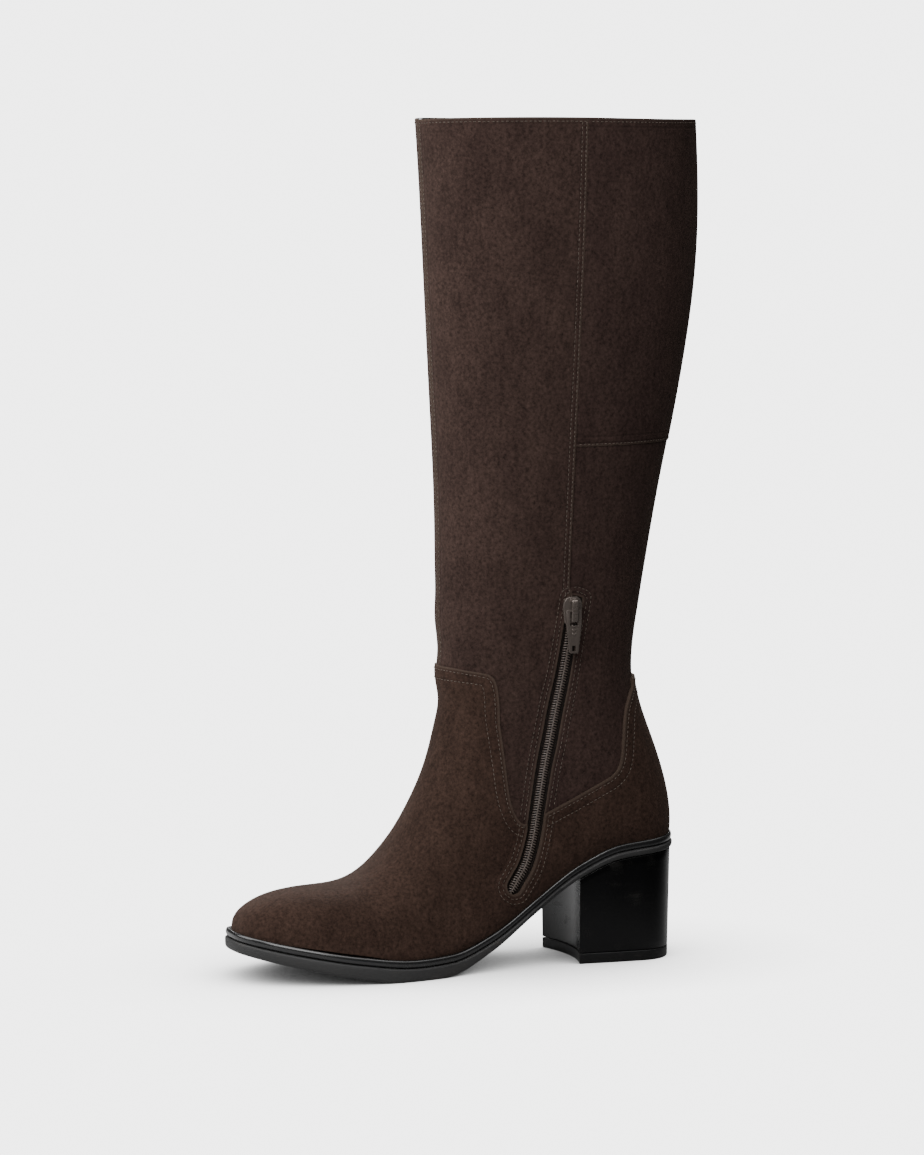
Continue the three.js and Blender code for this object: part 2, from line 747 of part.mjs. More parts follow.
// Strip along the zip's line, a width wide, between two distances from the form
function zipStrip(width, low, high, rise) {
  const shell = bootForm(high).subtract(bootForm(low, 6));
  return shell.intersect(zipBand(width, rise, 0));
}

const CHAIN_LOW = 2 * GAP + TAPE_THICKNESS;

function zipTapeSolid() {
  return zipStrip(TAPE_WIDTH, GAP, GAP + TAPE_THICKNESS, 1);
}

function zipChainSolid() {
  return zipStrip(COIL_WIDTH, CHAIN_LOW, CHAIN_LOW + COIL_THICKNESS, -2);
}

// Frame of the slider: its middle over the chain, x down the boot, y level and z out of it
function sliderFrame() {
  const at = zipLine.find((point) => point.z < SLIDER_HEIGHT);
  const top = CHAIN_LOW + COIL_THICKNESS + GAP;
  const start = insidePoint(at.s, SLIDER_HEIGHT + SLIDER_LENGTH / 2, top);
  const end = insidePoint(at.s, SLIDER_HEIGHT - SLIDER_LENGTH / 2, top);
  const down = end.clone().sub(start).setY(0).normalize();
  const level = new THREE.Vector3(0, 1, 0);
  const out = new THREE.Vector3().crossVectors(down, level);
  const origin = insidePoint(at.s, SLIDER_HEIGHT, top);
  return new THREE.Matrix4().makeBasis(down, level, out).setPosition(origin);
}

const SLIDER = sliderFrame();

// Slider plate, narrower at the foot, with the bridge that carries the pull
function sliderSolid() {
  const half = SLIDER_WIDTH / 2;
  const end = SLIDER_LENGTH / 2;
  const plate = new THREE.Shape();
  plate.moveTo(-end, -half * 0.45);
  plate.quadraticCurveTo(-end * 0.85, -half, -end * 0.3, -half);
  plate.lineTo(end * 0.9, -half * 0.82);
  plate.quadraticCurveTo(end, -half * 0.8, end, -half * 0.5);
  plate.lineTo(end, half * 0.5);
  plate.quadraticCurveTo(end, half * 0.8, end * 0.9, half * 0.82);
  plate.lineTo(-end * 0.3, half);
  plate.quadraticCurveTo(-end * 0.85, half, -end, half * 0.45);
  const settings = { depth: SLIDER_THICKNESS, bevelEnabled: false, curveSegments: 3 };
  const base = new THREE.ExtrudeGeometry(plate, settings);
  const reach = BRIDGE_LENGTH / 2;
  const rise = SLIDER_THICKNESS + BRIDGE_HEIGHT;
  const bridge = new THREE.Shape();
  bridge.moveTo(-reach, SLIDER_THICKNESS / 2);
  bridge.lineTo(-reach, rise * 0.7);
  bridge.quadraticCurveTo(-reach, rise, -reach * 0.7, rise);
  bridge.lineTo(reach * 0.6, rise);
  bridge.quadraticCurveTo(reach, rise, reach, rise * 0.6);
  bridge.lineTo(reach, SLIDER_THICKNESS / 2);
  const inner = reach - BAR;
  const under = rise - BAR;
  const arch = new THREE.Path();
  arch.moveTo(-inner, SLIDER_THICKNESS);
  arch.lineTo(inner, SLIDER_THICKNESS);
  arch.lineTo(inner, rise * 0.55);
  arch.quadraticCurveTo(inner, under, inner * 0.6, under);
  arch.lineTo(-inner, under);
  bridge.holes.push(arch);
  const loop = new THREE.ExtrudeGeometry(bridge, { ...settings, depth: BRIDGE_WIDTH });
  const stand = new THREE.Matrix4().makeRotationX(Math.PI / 2).setPosition(0, BRIDGE_WIDTH / 2, 0);
  const solid = toSolid(base.applyMatrix4(SLIDER));
  return solid.add(toSolid(loop.applyMatrix4(stand).applyMatrix4(SLIDER)));
}

// Oblong hole in the pull, a width wide, between two heights
function hole(width, low, high) {
  const path = new THREE.Path();
  path.moveTo(-width / 2, high);
  path.lineTo(width / 2, high);
  path.lineTo(width / 2, low);
  path.lineTo(-width / 2, low);
  return path;
}

// Pull that hangs plumb from its cross bar under the bridge, with its eye and a slot at the tip
function pullSolid() {
  const bar = PULL_THICKNESS / 2;
  const wide = PULL_WIDTH / 2;
  const tip = PULL_TIP / 2;
  const foot = bar - PULL_LENGTH;
  const tab = new THREE.Shape();
  tab.moveTo(-wide, bar);
  tab.lineTo(-wide, -PULL_EYE_LENGTH);
  tab.lineTo(-tip, foot + PULL_CORNER);
  tab.quadraticCurveTo(-tip, foot, PULL_CORNER - tip, foot);
  tab.lineTo(tip - PULL_CORNER, foot);
  tab.quadraticCurveTo(tip, foot, tip, foot + PULL_CORNER);
  tab.lineTo(wide, -PULL_EYE_LENGTH);
  tab.lineTo(wide, bar);
  tab.holes.push(hole(PULL_EYE_WIDTH, -bar - PULL_EYE_LENGTH, -bar));
  const slotFoot = PULL_SLOT_EDGE - PULL_LENGTH;
  tab.holes.push(hole(PULL_SLOT_WIDTH, slotFoot, slotFoot + PULL_SLOT_LENGTH));
  const settings = { depth: PULL_THICKNESS, bevelEnabled: false, curveSegments: 4 };
  const plate = new THREE.ExtrudeGeometry(tab, settings);
  const axis = new THREE.Vector3(0, 0, PULL_AXIS).applyMatrix4(SLIDER);
  const hang = new THREE.Matrix4().makeBasis(
    new THREE.Vector3(0, 1, 0),
    new THREE.Vector3(0, 0, 1),
    new THREE.Vector3(1, 0, 0),
  );
  hang.setPosition(axis.x - PULL_THICKNESS / 2, axis.y, axis.z);
  return toSolid(plate.applyMatrix4(hang));
}

export const group = new THREE.Group();

const SUEDE = new THREE.MeshStandardMaterial({ color: 0x46372e, roughness: 0.95 });
const LINING = new THREE.MeshStandardMaterial({ color: 0x161413, roughness: 0.6 });
const RUBBER = new THREE.MeshStandardMaterial({ color: 0x1b1a1a, roughness: 0.7 });
const GLOSS = new THREE.MeshStandardMaterial({ color: 0x0d0c0c, roughness: 0.3 });
const TEXTILE = new THREE.MeshStandardMaterial({ color: 0x1f1916, roughness: 0.9 });
const COIL = new THREE.MeshStandardMaterial({ color: 0x4a3c34, roughness: 0.5 });
const METAL = new THREE.MeshStandardMaterial({ color: 0x4d4743, roughness: 0.35, metalness: 0.9 });

group.add(toMesh("upper", upperSolid(), LINING));
group.add(toMesh("foot_overlay", footOverlaySolid(), SUEDE));
group.add(toMesh("shaft_front_medial", frontPanelSolid(true), SUEDE));
group.add(toMesh("shaft_front_lateral", frontPanelSolid(false), SUEDE));
group.add(toMesh("shaft_back_upper", backPanelSolid(true), SUEDE));
group.add(toMesh("shaft_back_lower", backPanelSolid(false), SUEDE));
group.add(toMesh("insole", insoleSolid(), LINING));
group.add(toMesh("welt", weltSolid(), GLOSS));
group.add(toMesh("outsole", outsoleSolid(), RUBBER));
group.add(toMesh("heel_block", heelBlockSolid(), GLOSS));
group.add(toMesh("heel_lift", heelLiftSolid(), RUBBER));
group.add(toMesh("zip_tape", zipTapeSolid(), TEXTILE));
group.add(toMesh("zip_chain", zipChainSolid(), COIL));
group.add(toMesh("zip_slider", sliderSolid(), METAL));
group.add(toMesh("zip_pull", pullSolid(), METAL));

// Origin under the middle of the whole boot's box, at floor level
const box = new THREE.Box3().setFromObject(group);
const middle = box.getCenter(new THREE.Vector3());
group.children.forEach((mesh) => mesh.geometry.translate(-middle.x, -middle.y, -box.min.z));

export default group;
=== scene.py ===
"""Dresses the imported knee-high boot: suede panels, thread, polished welt and heel, and a coil zip.

Lengths are millimetres until a mesh is made. s runs forward from the back of the heel, z up from
the floor and x towards the inner side, and a point of the form is (x, -s, z).
"""

import logging
import math
from dataclasses import dataclass, field
from enum import Enum
from typing import Callable, Optional, Union

import bmesh
import bpy
import numpy as np
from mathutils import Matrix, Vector

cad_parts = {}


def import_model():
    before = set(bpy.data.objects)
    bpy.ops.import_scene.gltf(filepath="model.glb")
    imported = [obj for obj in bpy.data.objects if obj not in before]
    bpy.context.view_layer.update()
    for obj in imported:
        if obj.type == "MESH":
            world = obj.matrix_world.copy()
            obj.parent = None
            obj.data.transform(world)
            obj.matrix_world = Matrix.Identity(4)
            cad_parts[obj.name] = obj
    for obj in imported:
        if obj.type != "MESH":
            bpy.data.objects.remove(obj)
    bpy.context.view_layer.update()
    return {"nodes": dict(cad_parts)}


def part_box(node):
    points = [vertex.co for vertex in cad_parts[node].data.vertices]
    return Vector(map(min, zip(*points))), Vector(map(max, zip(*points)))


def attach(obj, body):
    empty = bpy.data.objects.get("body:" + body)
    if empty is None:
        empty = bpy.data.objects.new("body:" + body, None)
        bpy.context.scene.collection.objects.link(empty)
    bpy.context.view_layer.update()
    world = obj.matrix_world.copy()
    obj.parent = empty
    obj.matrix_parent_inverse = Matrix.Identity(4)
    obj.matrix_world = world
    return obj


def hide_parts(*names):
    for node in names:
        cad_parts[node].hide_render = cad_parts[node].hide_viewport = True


LOG = logging.getLogger("boot")
MM = 0.001
TURN = 2.0 * math.pi
GAP = 0.3
RIM_LIMIT = 30.0
FAR = 90.0

Array = np.ndarray
Field = Callable[[Array, Array], Array]
Colour = tuple[float, float, float]
Thing = bpy.types.Object
Socket = bpy.types.NodeSocket
Level = Union[float, Socket]
Tone = Union[Colour, Socket]
Looks = dict[str, bpy.types.Material]


class Body(Enum):
    """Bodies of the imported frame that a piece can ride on."""

    BOOT = "boot"
    PULL = "pull_tab"


class Slot(Enum):
    """Material slots of the record."""

    SUEDE = "suede"
    LINING = "lining"
    RUBBER = "rubber"
    GLOSS = "gloss"
    TEXTILE = "textile"
    COIL = "coil"
    METAL = "metal"


# Sole rows: at, rise, spring, reach, pack
SOLE_ROWS = np.array(
    [
        (0.0, 1.0, 0.0, 1.2, 8.2),
        (0.15, 0.935, 0.0, 1.2, 8.2),
        (0.25, 0.76, 0.0, 1.4, 8.0),
        (0.35, 0.47, 0.0, 1.8, 7.8),
        (0.46, 0.165, 0.0, 2.4, 9.2),
        (0.56, 0.02, 0.0, 3.0, 11.6),
        (0.66, 0.0, 0.03, 3.0, 12.8),
        (0.78, 0.0, 0.27, 3.0, 12.0),
        (0.9, 0.0, 0.64, 3.0, 11.2),
        (1.0, 0.0, 1.0, 3.0, 10.6),
    ]
)

# Foot rows, toe to heel: back, lean, tall, inner, outer, sway, mid, crown, floor
FOOT_ROWS = np.array(
    [
        (1.0, 0.0, 0.0, 0.0, 0.0, 0.06, 0.5, 0.2, 0.2),
        (0.997, -0.004, 0.11, 0.115, 0.12, 0.06, 0.5, 0.2, 0.2),
        (0.978, -0.016, 0.215, 0.22, 0.235, 0.056, 0.56, 0.2, 0.4),
        (0.925, -0.014, 0.33, 0.318, 0.338, 0.045, 0.6, 0.2, 0.6),
        (0.84, -0.01, 0.4, 0.405, 0.435, 0.026, 0.62, 0.2, 0.8),
        (0.752, -0.014, 0.465, 0.45, 0.495, 0.01, 0.62, 0.12, 0.85),
        (0.665, -0.004, 0.63, 0.455, 0.51, 0.0, 0.62, 0.0, 0.85),
        (0.56, 0.038, 0.895, 0.405, 0.47, 0.0, 0.62, -0.05, 0.85),
        (0.42, 0.132, 1.03, 0.36, 0.405, 0.0, 0.6, 0.0, 0.8),
        (0.27, 0.262, 0.965, 0.36, 0.375, 0.0, 0.58, 0.03, 0.7),
        (0.13, 0.392, 0.95, 0.372, 0.38, 0.0, 0.56, 0.05, 0.58),
        (0.042, 0.48, 1.03, 0.38, 0.383, 0.0, 0.56, 0.05, 0.52),
    ]
)

# Leg rows, heel to collar: up, back, front, tall, inner, outer, mid, crown, floor
LEG_ROWS = np.array(
    [
        (0.0, 0.022, 0.822, 1.04, 0.383, 0.383, 0.56, 0.05, 0.4),
        (0.055, 0.028, 0.82, 0.88, 0.385, 0.385, 0.55, 0.05, 0.15),
        (0.13, 0.084, 0.818, 0.62, 0.39, 0.39, 0.53, 0.05, 0.05),
        (0.215, 0.144, 0.82, 0.3, 0.4, 0.4, 0.5, 0.05, 0.0),
        (0.33, 0.12, 0.823, 0.06, 0.415, 0.415, 0.5, 0.05, 0.0),
        (0.5, 0.044, 0.829, 0.0, 0.44, 0.44, 0.5, 0.05, 0.0),
        (0.67, -0.04, 0.85, 0.0, 0.475, 0.475, 0.5, 0.05, 0.0),
        (0.84, -0.086, 0.87, 0.0, 0.5, 0.5, 0.5, 0.05, 0.0),
        (1.0, -0.078, 0.894, 0.027, 0.5, 0.5, 0.5, 0.05, 0.0),
    ]
)

# Upper edge of the foot piece in side view, back to front: s share of the collar depth, z
FOOT_EDGE = np.array(
    [
        (-0.2, 151), (0.142, 151), (0.178, 146), (0.204, 141), (0.23, 133), (0.243, 121.5),
        (0.25, 112), (0.262, 105.5), (0.29, 101), (0.335, 97.5), (0.39, 93), (0.45, 88.4),
        (0.523, 83), (0.57, 79), (0.604, 78), (0.631, 82.5), (0.65, 92.5), (0.659, 109),
        (0.667, 126), (0.672, 141), (0.68, 151.5), (0.696, 156.5), (0.72, 157.8),
        (0.765, 158.8), (0.85, 160), (1.1, 160),
    ]
)

# Side seam of the shaft, its outer foot, and the zip's centre line: s share of the collar depth, z
SIDE_SEAM = np.array([(0.396, 470), (0.402, 448), (0.417, 363), (0.439, 255), (0.45, 203)])
OUTER_SEAM_FOOT = np.array([(0.476, 160), (0.514, 120), (0.56, 60)])
ZIP_LINE = np.array(
    [
        (0.427, 197.5), (0.45, 174), (0.47, 156), (0.491, 138), (0.511, 120), (0.534, 102.5),
        (0.553, 85), (0.569, 69.7), (0.594, 56.7), (0.625, 48.4), (0.651, 42),
    ]
)

# Soft folds of the leather: s, z, tilt in degrees from level, half length, half width, depth
FOLDS = np.array(
    [
        (118, 172, 12, 30, 7.0, -0.5),
        (116, 186, -6, 34, 8.0, 0.35),
        (104, 205, -14, 30, 9.0, -0.35),
        (60, 170, 24, 26, 8.0, -0.4),
        (48, 196, 16, 30, 10.0, 0.35),
        (150, 66, -38, 22, 7.0, -0.35),
        (166, 52, -34, 20, 6.0, 0.25),
        (60, 330, 84, 60, 12.0, -0.5),
        (100, 300, 88, 80, 14.0, 0.4),
        (20, 360, 80, 50, 12.0, 0.4),
    ]
)


def spline_line(rows: Array, steps: int) -> Array:
    """Smooth line through points, by the uniform Catmull-Rom formula.

    Args:
        rows: control points, one per row.
        steps: number of spans along the whole line.

    Returns:
        steps + 1 points.
    """
    last = len(rows) - 1
    at = np.linspace(0, last, steps + 1)
    i = np.minimum(at.astype(int), last - 1)
    t = (at - i)[:, None]
    p0, p1 = rows[np.maximum(i - 1, 0)], rows[i]
    p2, p3 = rows[i + 1], rows[np.minimum(i + 2, last)]
    v0, v1 = (p2 - p0) / 2, (p3 - p1) / 2
    cubic = (2 * p1 - 2 * p2 + v0 + v1) * t**3
    return cubic + (3 * p2 - 3 * p1 - 2 * v0 - v1) * t**2 + v0 * t + p1


def halved(low: Array, high: Array, holds: Callable[[Array], Array], steps: int) -> Array:
    """The last place from low towards high where a condition still holds, by halving.

    Args:
        low: where it holds.
        high: where it no longer holds.
        holds: tells for each place whether it holds there.
        steps: how many times each span is halved.

    Returns:
        One place for each span.
    """
    for _ in range(steps):
        middle = (low + high) / 2
        held = holds(middle)
        low, high = np.where(held, middle, low), np.where(held, high, middle)
    return low


def unit(vectors: Array) -> Array:
    """Vectors of length 1."""
    return vectors / np.linalg.norm(vectors, axis=-1, keepdims=True)


def side_line(rows: Array, depth: float, steps: int) -> Array:
    """Side-view line in millimetres from a table of shares of depth and heights."""
    return spline_line(rows * (depth, 1.0), steps)


def shifted(line: Array, distance: float) -> Array:
    """A side-view line moved to its left, each point square to the line by the same distance.

    Args:
        line: points in order.
        distance: millimetres, negative for the right.

    Returns:
        The moved points.
    """
    along = unit(np.gradient(line, axis=0))
    return line + np.stack([-along[:, 1], along[:, 0]], 1) * distance


def inside_distance(points: Array, polygon: Array) -> Array:
    """Signed distance to a closed polygon, negative inside.

    The size is the least distance to any side, and the sign comes from counting the sides that a
    level ray crosses.

    Args:
        points: side-view points in any array shape ending in 2.
        polygon: its corners in order.

    Returns:
        Distances in millimetres, in the points' shape.
    """
    flat = points.reshape(-1, 2)
    best = np.full(len(flat), 1e9)
    inside = np.zeros(len(flat), bool)
    for a, b in zip(polygon, np.roll(polygon, -1, axis=0)):
        run = b - a
        t = np.clip(((flat - a) @ run) / (run @ run), 0, 1)
        best = np.minimum(best, np.linalg.norm(flat - a - t[:, None] * run, axis=1))
        if a[1] != b[1]:
            crossed = (flat[:, 1] > min(a[1], b[1])) & (flat[:, 1] <= max(a[1], b[1]))
            reach = a[0] + (flat[:, 1] - a[1]) * run[0] / run[1]
            inside ^= crossed & (flat[:, 0] < reach)
    return np.where(inside, -best, best).reshape(points.shape[:-1])


@dataclass(frozen=True)
class Last:
    """The boot's form: fan-shaped sections from toe to collar, and the feather line under it."""

    length: float = 241.0
    ball: float = 87.0
    instep: float = 84.0
    heel_rise: float = 67.5
    ball_rise: float = 11.2
    toe_spring: float = 13.6
    shaft: float = 380.5
    collar_depth: float = 155.0
    collar_width: float = 88.0
    tuck: float = 8.0
    collar_drop: float = 3.2
    collar_wave: float = 0.6
    collar_round: float = 0.7
    fold_wave: float = 0.12
    zip_from: float = 4.0
    heel_stations: tuple[float, float] = (11.0, 13.5)

    def sole_row(self, column: int, s: Array) -> Array:
        """One column of the sole table, by a monotone cubic through its rows.

        The slope at a row is the harmonic mean of the slopes on both sides, and nought where they
        have unlike signs. Past the table's ends it goes on straight.

        Args:
            column: which column.
            s: millimetres from the back of the heel.

        Returns:
            The column's value at each s.
        """
        x, y = SOLE_ROWS[:, 0], SOLE_ROWS[:, column]
        slope = np.diff(y) / np.diff(x)
        inner = slope[:-1] * slope[1:]
        mean = 2 * inner / np.where(inner > 0, slope[:-1] + slope[1:], 1)
        tangent = np.concatenate([slope[:1], np.where(inner > 0, mean, 0), slope[-1:]])
        at = np.asarray(s, float) / self.length
        held = np.clip(at, 0, 1)
        i = np.clip(np.searchsorted(x, held, side="right") - 1, 0, len(x) - 2)
        h = x[i + 1] - x[i]
        t = (held - x[i]) / h
        rise = t * t * (3 - 2 * t)
        bend = h * t * (1 - t) * ((1 - t) * tangent[i] - t * tangent[i + 1])
        over = np.where(at < 0, at * tangent[0], np.where(at > 1, (at - 1) * tangent[-1], 0))
        return y[i] * (1 - rise) + y[i + 1] * rise + bend + over

    def feather(self, s: Array) -> Array:
        """Height of the feather line: ball rise, heel rise and toe spring by the sole table."""
        heel = (self.heel_rise - self.ball_rise) * self.sole_row(1, s)
        return self.ball_rise + heel + self.toe_spring * self.sole_row(2, s)

    def held_row(self, column: int, s: Array) -> Array:
        """A sole column that stays level past both tips."""
        return self.sole_row(column, np.clip(s, 0, self.length))

    def sections(self) -> Array:
        """Sections in millimetres: top s and z, bottom s and z, widths, sway, mid, crown, floor.

        Returns:
            One row for each station.
        """
        f, g = FOOT_ROWS, LEG_ROWS
        s = f[:, 0] * self.length
        z = self.feather(s) - self.tuck * np.minimum(1, f[:, 2] / f[3, 2])
        top = [s + f[:, 1] * self.length, z + f[:, 2] * self.instep]
        foot = np.column_stack([*top, s, z, f[:, 3:6] * self.ball, f[:, 6:]])
        up = self.heel_rise + g[:, 0] * self.shaft
        top = [g[:, 2] * self.collar_depth, up + g[:, 3] * self.instep]
        sides = [g[:, 4:6] * self.collar_width, np.zeros(len(g))]
        leg = np.column_stack([*top, g[:, 1] * self.collar_depth, up, *sides, g[:, 6:]])
        return np.vstack([foot, leg])

    @property
    def top(self) -> float:
        """Station of the collar."""
        return float(len(FOOT_ROWS) + len(LEG_ROWS) - 1)

    def section(self, u: Array) -> Array:
        """Sections at any stations, by the natural cubic through the rows.

        The bends at the rows solve the usual system of 1, 4 and 1, with none at both ends.

        Args:
            u: stations, 0 at the toe.

        Returns:
            The row of sizes for each station.
        """
        rows = self.sections()
        n = len(rows)
        system = np.diag(np.full(n, 4.0)) + np.diag(np.ones(n - 1), 1) + np.diag(np.ones(n - 1), -1)
        system[0, :2] = (1, 0)
        system[-1, -2:] = (0, 1)
        turn = np.zeros_like(rows)
        turn[1:-1] = 6 * (rows[:-2] - 2 * rows[1:-1] + rows[2:])
        bends = np.linalg.solve(system, turn)
        u = np.asarray(u, float)
        i = np.clip(u.astype(int), 0, n - 2)
        f = (u - i)[..., None]
        g = 1 - f
        cubic = (g**3 - g) * bends[i] + (f**3 - f) * bends[i + 1]
        return g * rows[i] + f * rows[i + 1] + cubic / 6

    def point(self, u: Array, around: Array) -> Array:
        """Point of the form: around is 0 at the front, half a turn at the back, inner side first.

        In a section, c = cos(around) says how far up the point is, and the half width is
        width * sin(around) * (1 + fullness * c^2).

        Args:
            u: stations.
            around: turns.

        Returns:
            Points in millimetres.
        """
        u, around = np.broadcast_arrays(np.asarray(u, float), np.mod(around, TURN))
        k = self.section(u)
        outside = around > math.pi
        turn = np.where(outside, TURN - around, around)
        c, mid = np.cos(turn), k[..., 7]
        down = np.where(c >= 0, mid * (1 - c), mid - (1 - mid) * c)
        full = 1 + np.where(c >= 0, k[..., 8], k[..., 9]) * c * c
        width = np.where(outside, -k[..., 5], k[..., 4])
        s = k[..., 0] + (k[..., 2] - k[..., 0]) * down
        z = k[..., 1] + (k[..., 3] - k[..., 1]) * down
        return np.stack([k[..., 6] + width * np.sin(turn) * full, -s, z], -1)

    def normal(self, u: Array, around: Array) -> Array:
        """Direction straight out of the form: across times along, by small steps both ways.

        Args:
            u: stations.
            around: turns.

        Returns:
            Unit vectors, level and forward at the toe's pole.
        """
        u, around = np.broadcast_arrays(np.asarray(u, float), np.asarray(around, float))
        step = 0.03
        low, high = np.maximum(step, u - step), np.minimum(self.top, u + step)
        along = self.point(high, around) - self.point(low, around)
        across = self.point(u, around + step) - self.point(u, around - step)
        out = np.cross(across, along)
        size = np.linalg.norm(out, axis=-1, keepdims=True)
        ahead = np.array([0.0, -1.0, 0.0])
        return np.where((u < 0.05)[..., None] | (size < 1e-9), ahead, out / np.maximum(size, 1e-9))

    def folds(self, u: Array, around: Array) -> Array:
        """Soft troughs and ridges: each fold is depth * exp(-along^2) * exp(-across^2).

        Args:
            u: stations.
            around: turns.

        Returns:
            Millimetres out of the form, with a slow wave of two sines added all over.
        """
        at = self.point(u, around)
        s, z = -at[..., 1], at[..., 2]
        total = np.zeros(s.shape)
        for fs, fz, tilt, long, wide, depth in FOLDS:
            c, n = math.cos(math.radians(tilt)), math.sin(math.radians(tilt))
            along = ((s - fs) * c + (z - fz) * n) / long
            across = ((z - fz) * c - (s - fs) * n) / wide
            total += depth * np.exp(-(along**2) - across**2)
        slow = np.sin(at[..., 0] * 0.11 + z * 0.021) * np.sin(s * 0.083 - z * 0.047 + 1.3)
        return total + self.fold_wave * slow

    def sag(self, u: Array, around: Array) -> Array:
        """How far the collar sinks: most on the outer side and with a slow wave round it.

        It fades with the square of the distance below the collar, one station down, and the
        corners at front and back are rounded by a high power of the cosine.

        Args:
            u: stations.
            around: turns.

        Returns:
            Millimetres down.
        """
        near = np.clip(np.asarray(u, float) - self.top + 1, 0, 1) ** 2
        side = (1 - np.sin(around)) / 2
        wave = self.collar_wave * (1 + np.sin(3 * around + 0.8)) / 2
        corner = self.collar_round * np.abs(np.cos(around)) ** 30
        return near * (self.collar_drop * side + wave + corner)

    def surface(self, u: Array, around: Array, height: float) -> Array:
        """Point at a height above the form, folds included; the collar only grows sideways.

        Args:
            u: stations.
            around: turns.
            height: millimetres along the form's own direction.

        Returns:
            Points in millimetres.
        """
        normal = self.normal(u, around)
        level = np.where((np.asarray(u) > self.top - 1e-6)[..., None], (1, 1, 0), 1)
        normal = unit(normal * level)
        lift = height + self.folds(u, around)
        point = self.point(u, around) + normal * lift[..., None]
        return point - self.sag(u, around)[..., None] * (0, 0, 1)

    def inner_station(self, s: Array, z: Array) -> tuple[Array, Array]:
        """Stations and turns on the inner side that show at side-view points.

        The station is found by halving, and the turn from how far down its plane the point is.

        Args:
            s: millimetres from the back of the heel.
            z: millimetres from the floor.

        Returns:
            A station and a turn for each point.
        """

        def off(u: Array) -> Array:
            """Which side of each station's plane the point is on, by a cross product."""
            k = self.section(u)
            return (k[:, 0] - s) * (k[:, 3] - z) - (k[:, 1] - z) * (k[:, 2] - s)

        low, high = np.full(len(s), self.zip_from), np.full(len(s), self.top)
        sign = np.sign(off(low))
        u = halved(low, high, lambda at: np.sign(off(at)) == sign, 40)
        k = self.section(u)
        down = np.hypot(k[:, 0] - s, k[:, 1] - z) / np.hypot(k[:, 0] - k[:, 2], k[:, 1] - k[:, 3])
        mid = k[:, 7]
        c = np.where(down <= mid, 1 - down / mid, -(down - mid) / (1 - mid))
        return u, np.arccos(np.clip(c, -1, 1))

    def above_feather(self, u: Array, around: Array) -> Array:
        """How far the form lies above the feather line."""
        at = self.point(u, around)
        return at[..., 2] - self.feather(-at[..., 1])

    def outline(self, count: int) -> Array:
        """Closed feather outline in plan, from the heel's tip by the inner side.

        For each station the turn where the form meets the feather line is found by halving.

        Args:
            count: number of points.

        Returns:
            x and s of each point, evenly spaced.
        """
        low, high = np.array(self.heel_stations)
        end = halved(low, high, lambda u: self.above_feather(u, math.pi) < 0, 40)
        u = end * (1 - np.cos(np.linspace(0, math.pi, 500))) / 2
        quarter, back = np.full(len(u), math.pi / 4), np.full(len(u), math.pi)
        sides = []
        for sign in (1, -1):
            turn = halved(quarter, back, lambda a: self.above_feather(u, sign * a) > 0, 30)
            p = self.point(u, sign * turn)
            sides.append(np.stack([p[:, 0], -p[:, 1]], 1))
        ring = np.vstack([sides[0][::-1], sides[1][1:-1]])
        return evenly(np.vstack([ring, ring[:1]]), count + 1)[:-1]


def evenly(line: Array, count: int) -> Array:
    """Points evenly spaced along a polyline by its arc length.

    Args:
        line: its points, with any further columns that go with them.
        count: number of points wanted.

    Returns:
        The new rows.
    """
    size = np.linalg.norm(np.diff(line, axis=0), axis=1)
    run = np.concatenate([[0], np.cumsum(size)])
    at = np.linspace(0, run[-1], count)
    return np.stack([np.interp(at, run, line[:, c]) for c in range(line.shape[1])], 1)


LAST = Last()


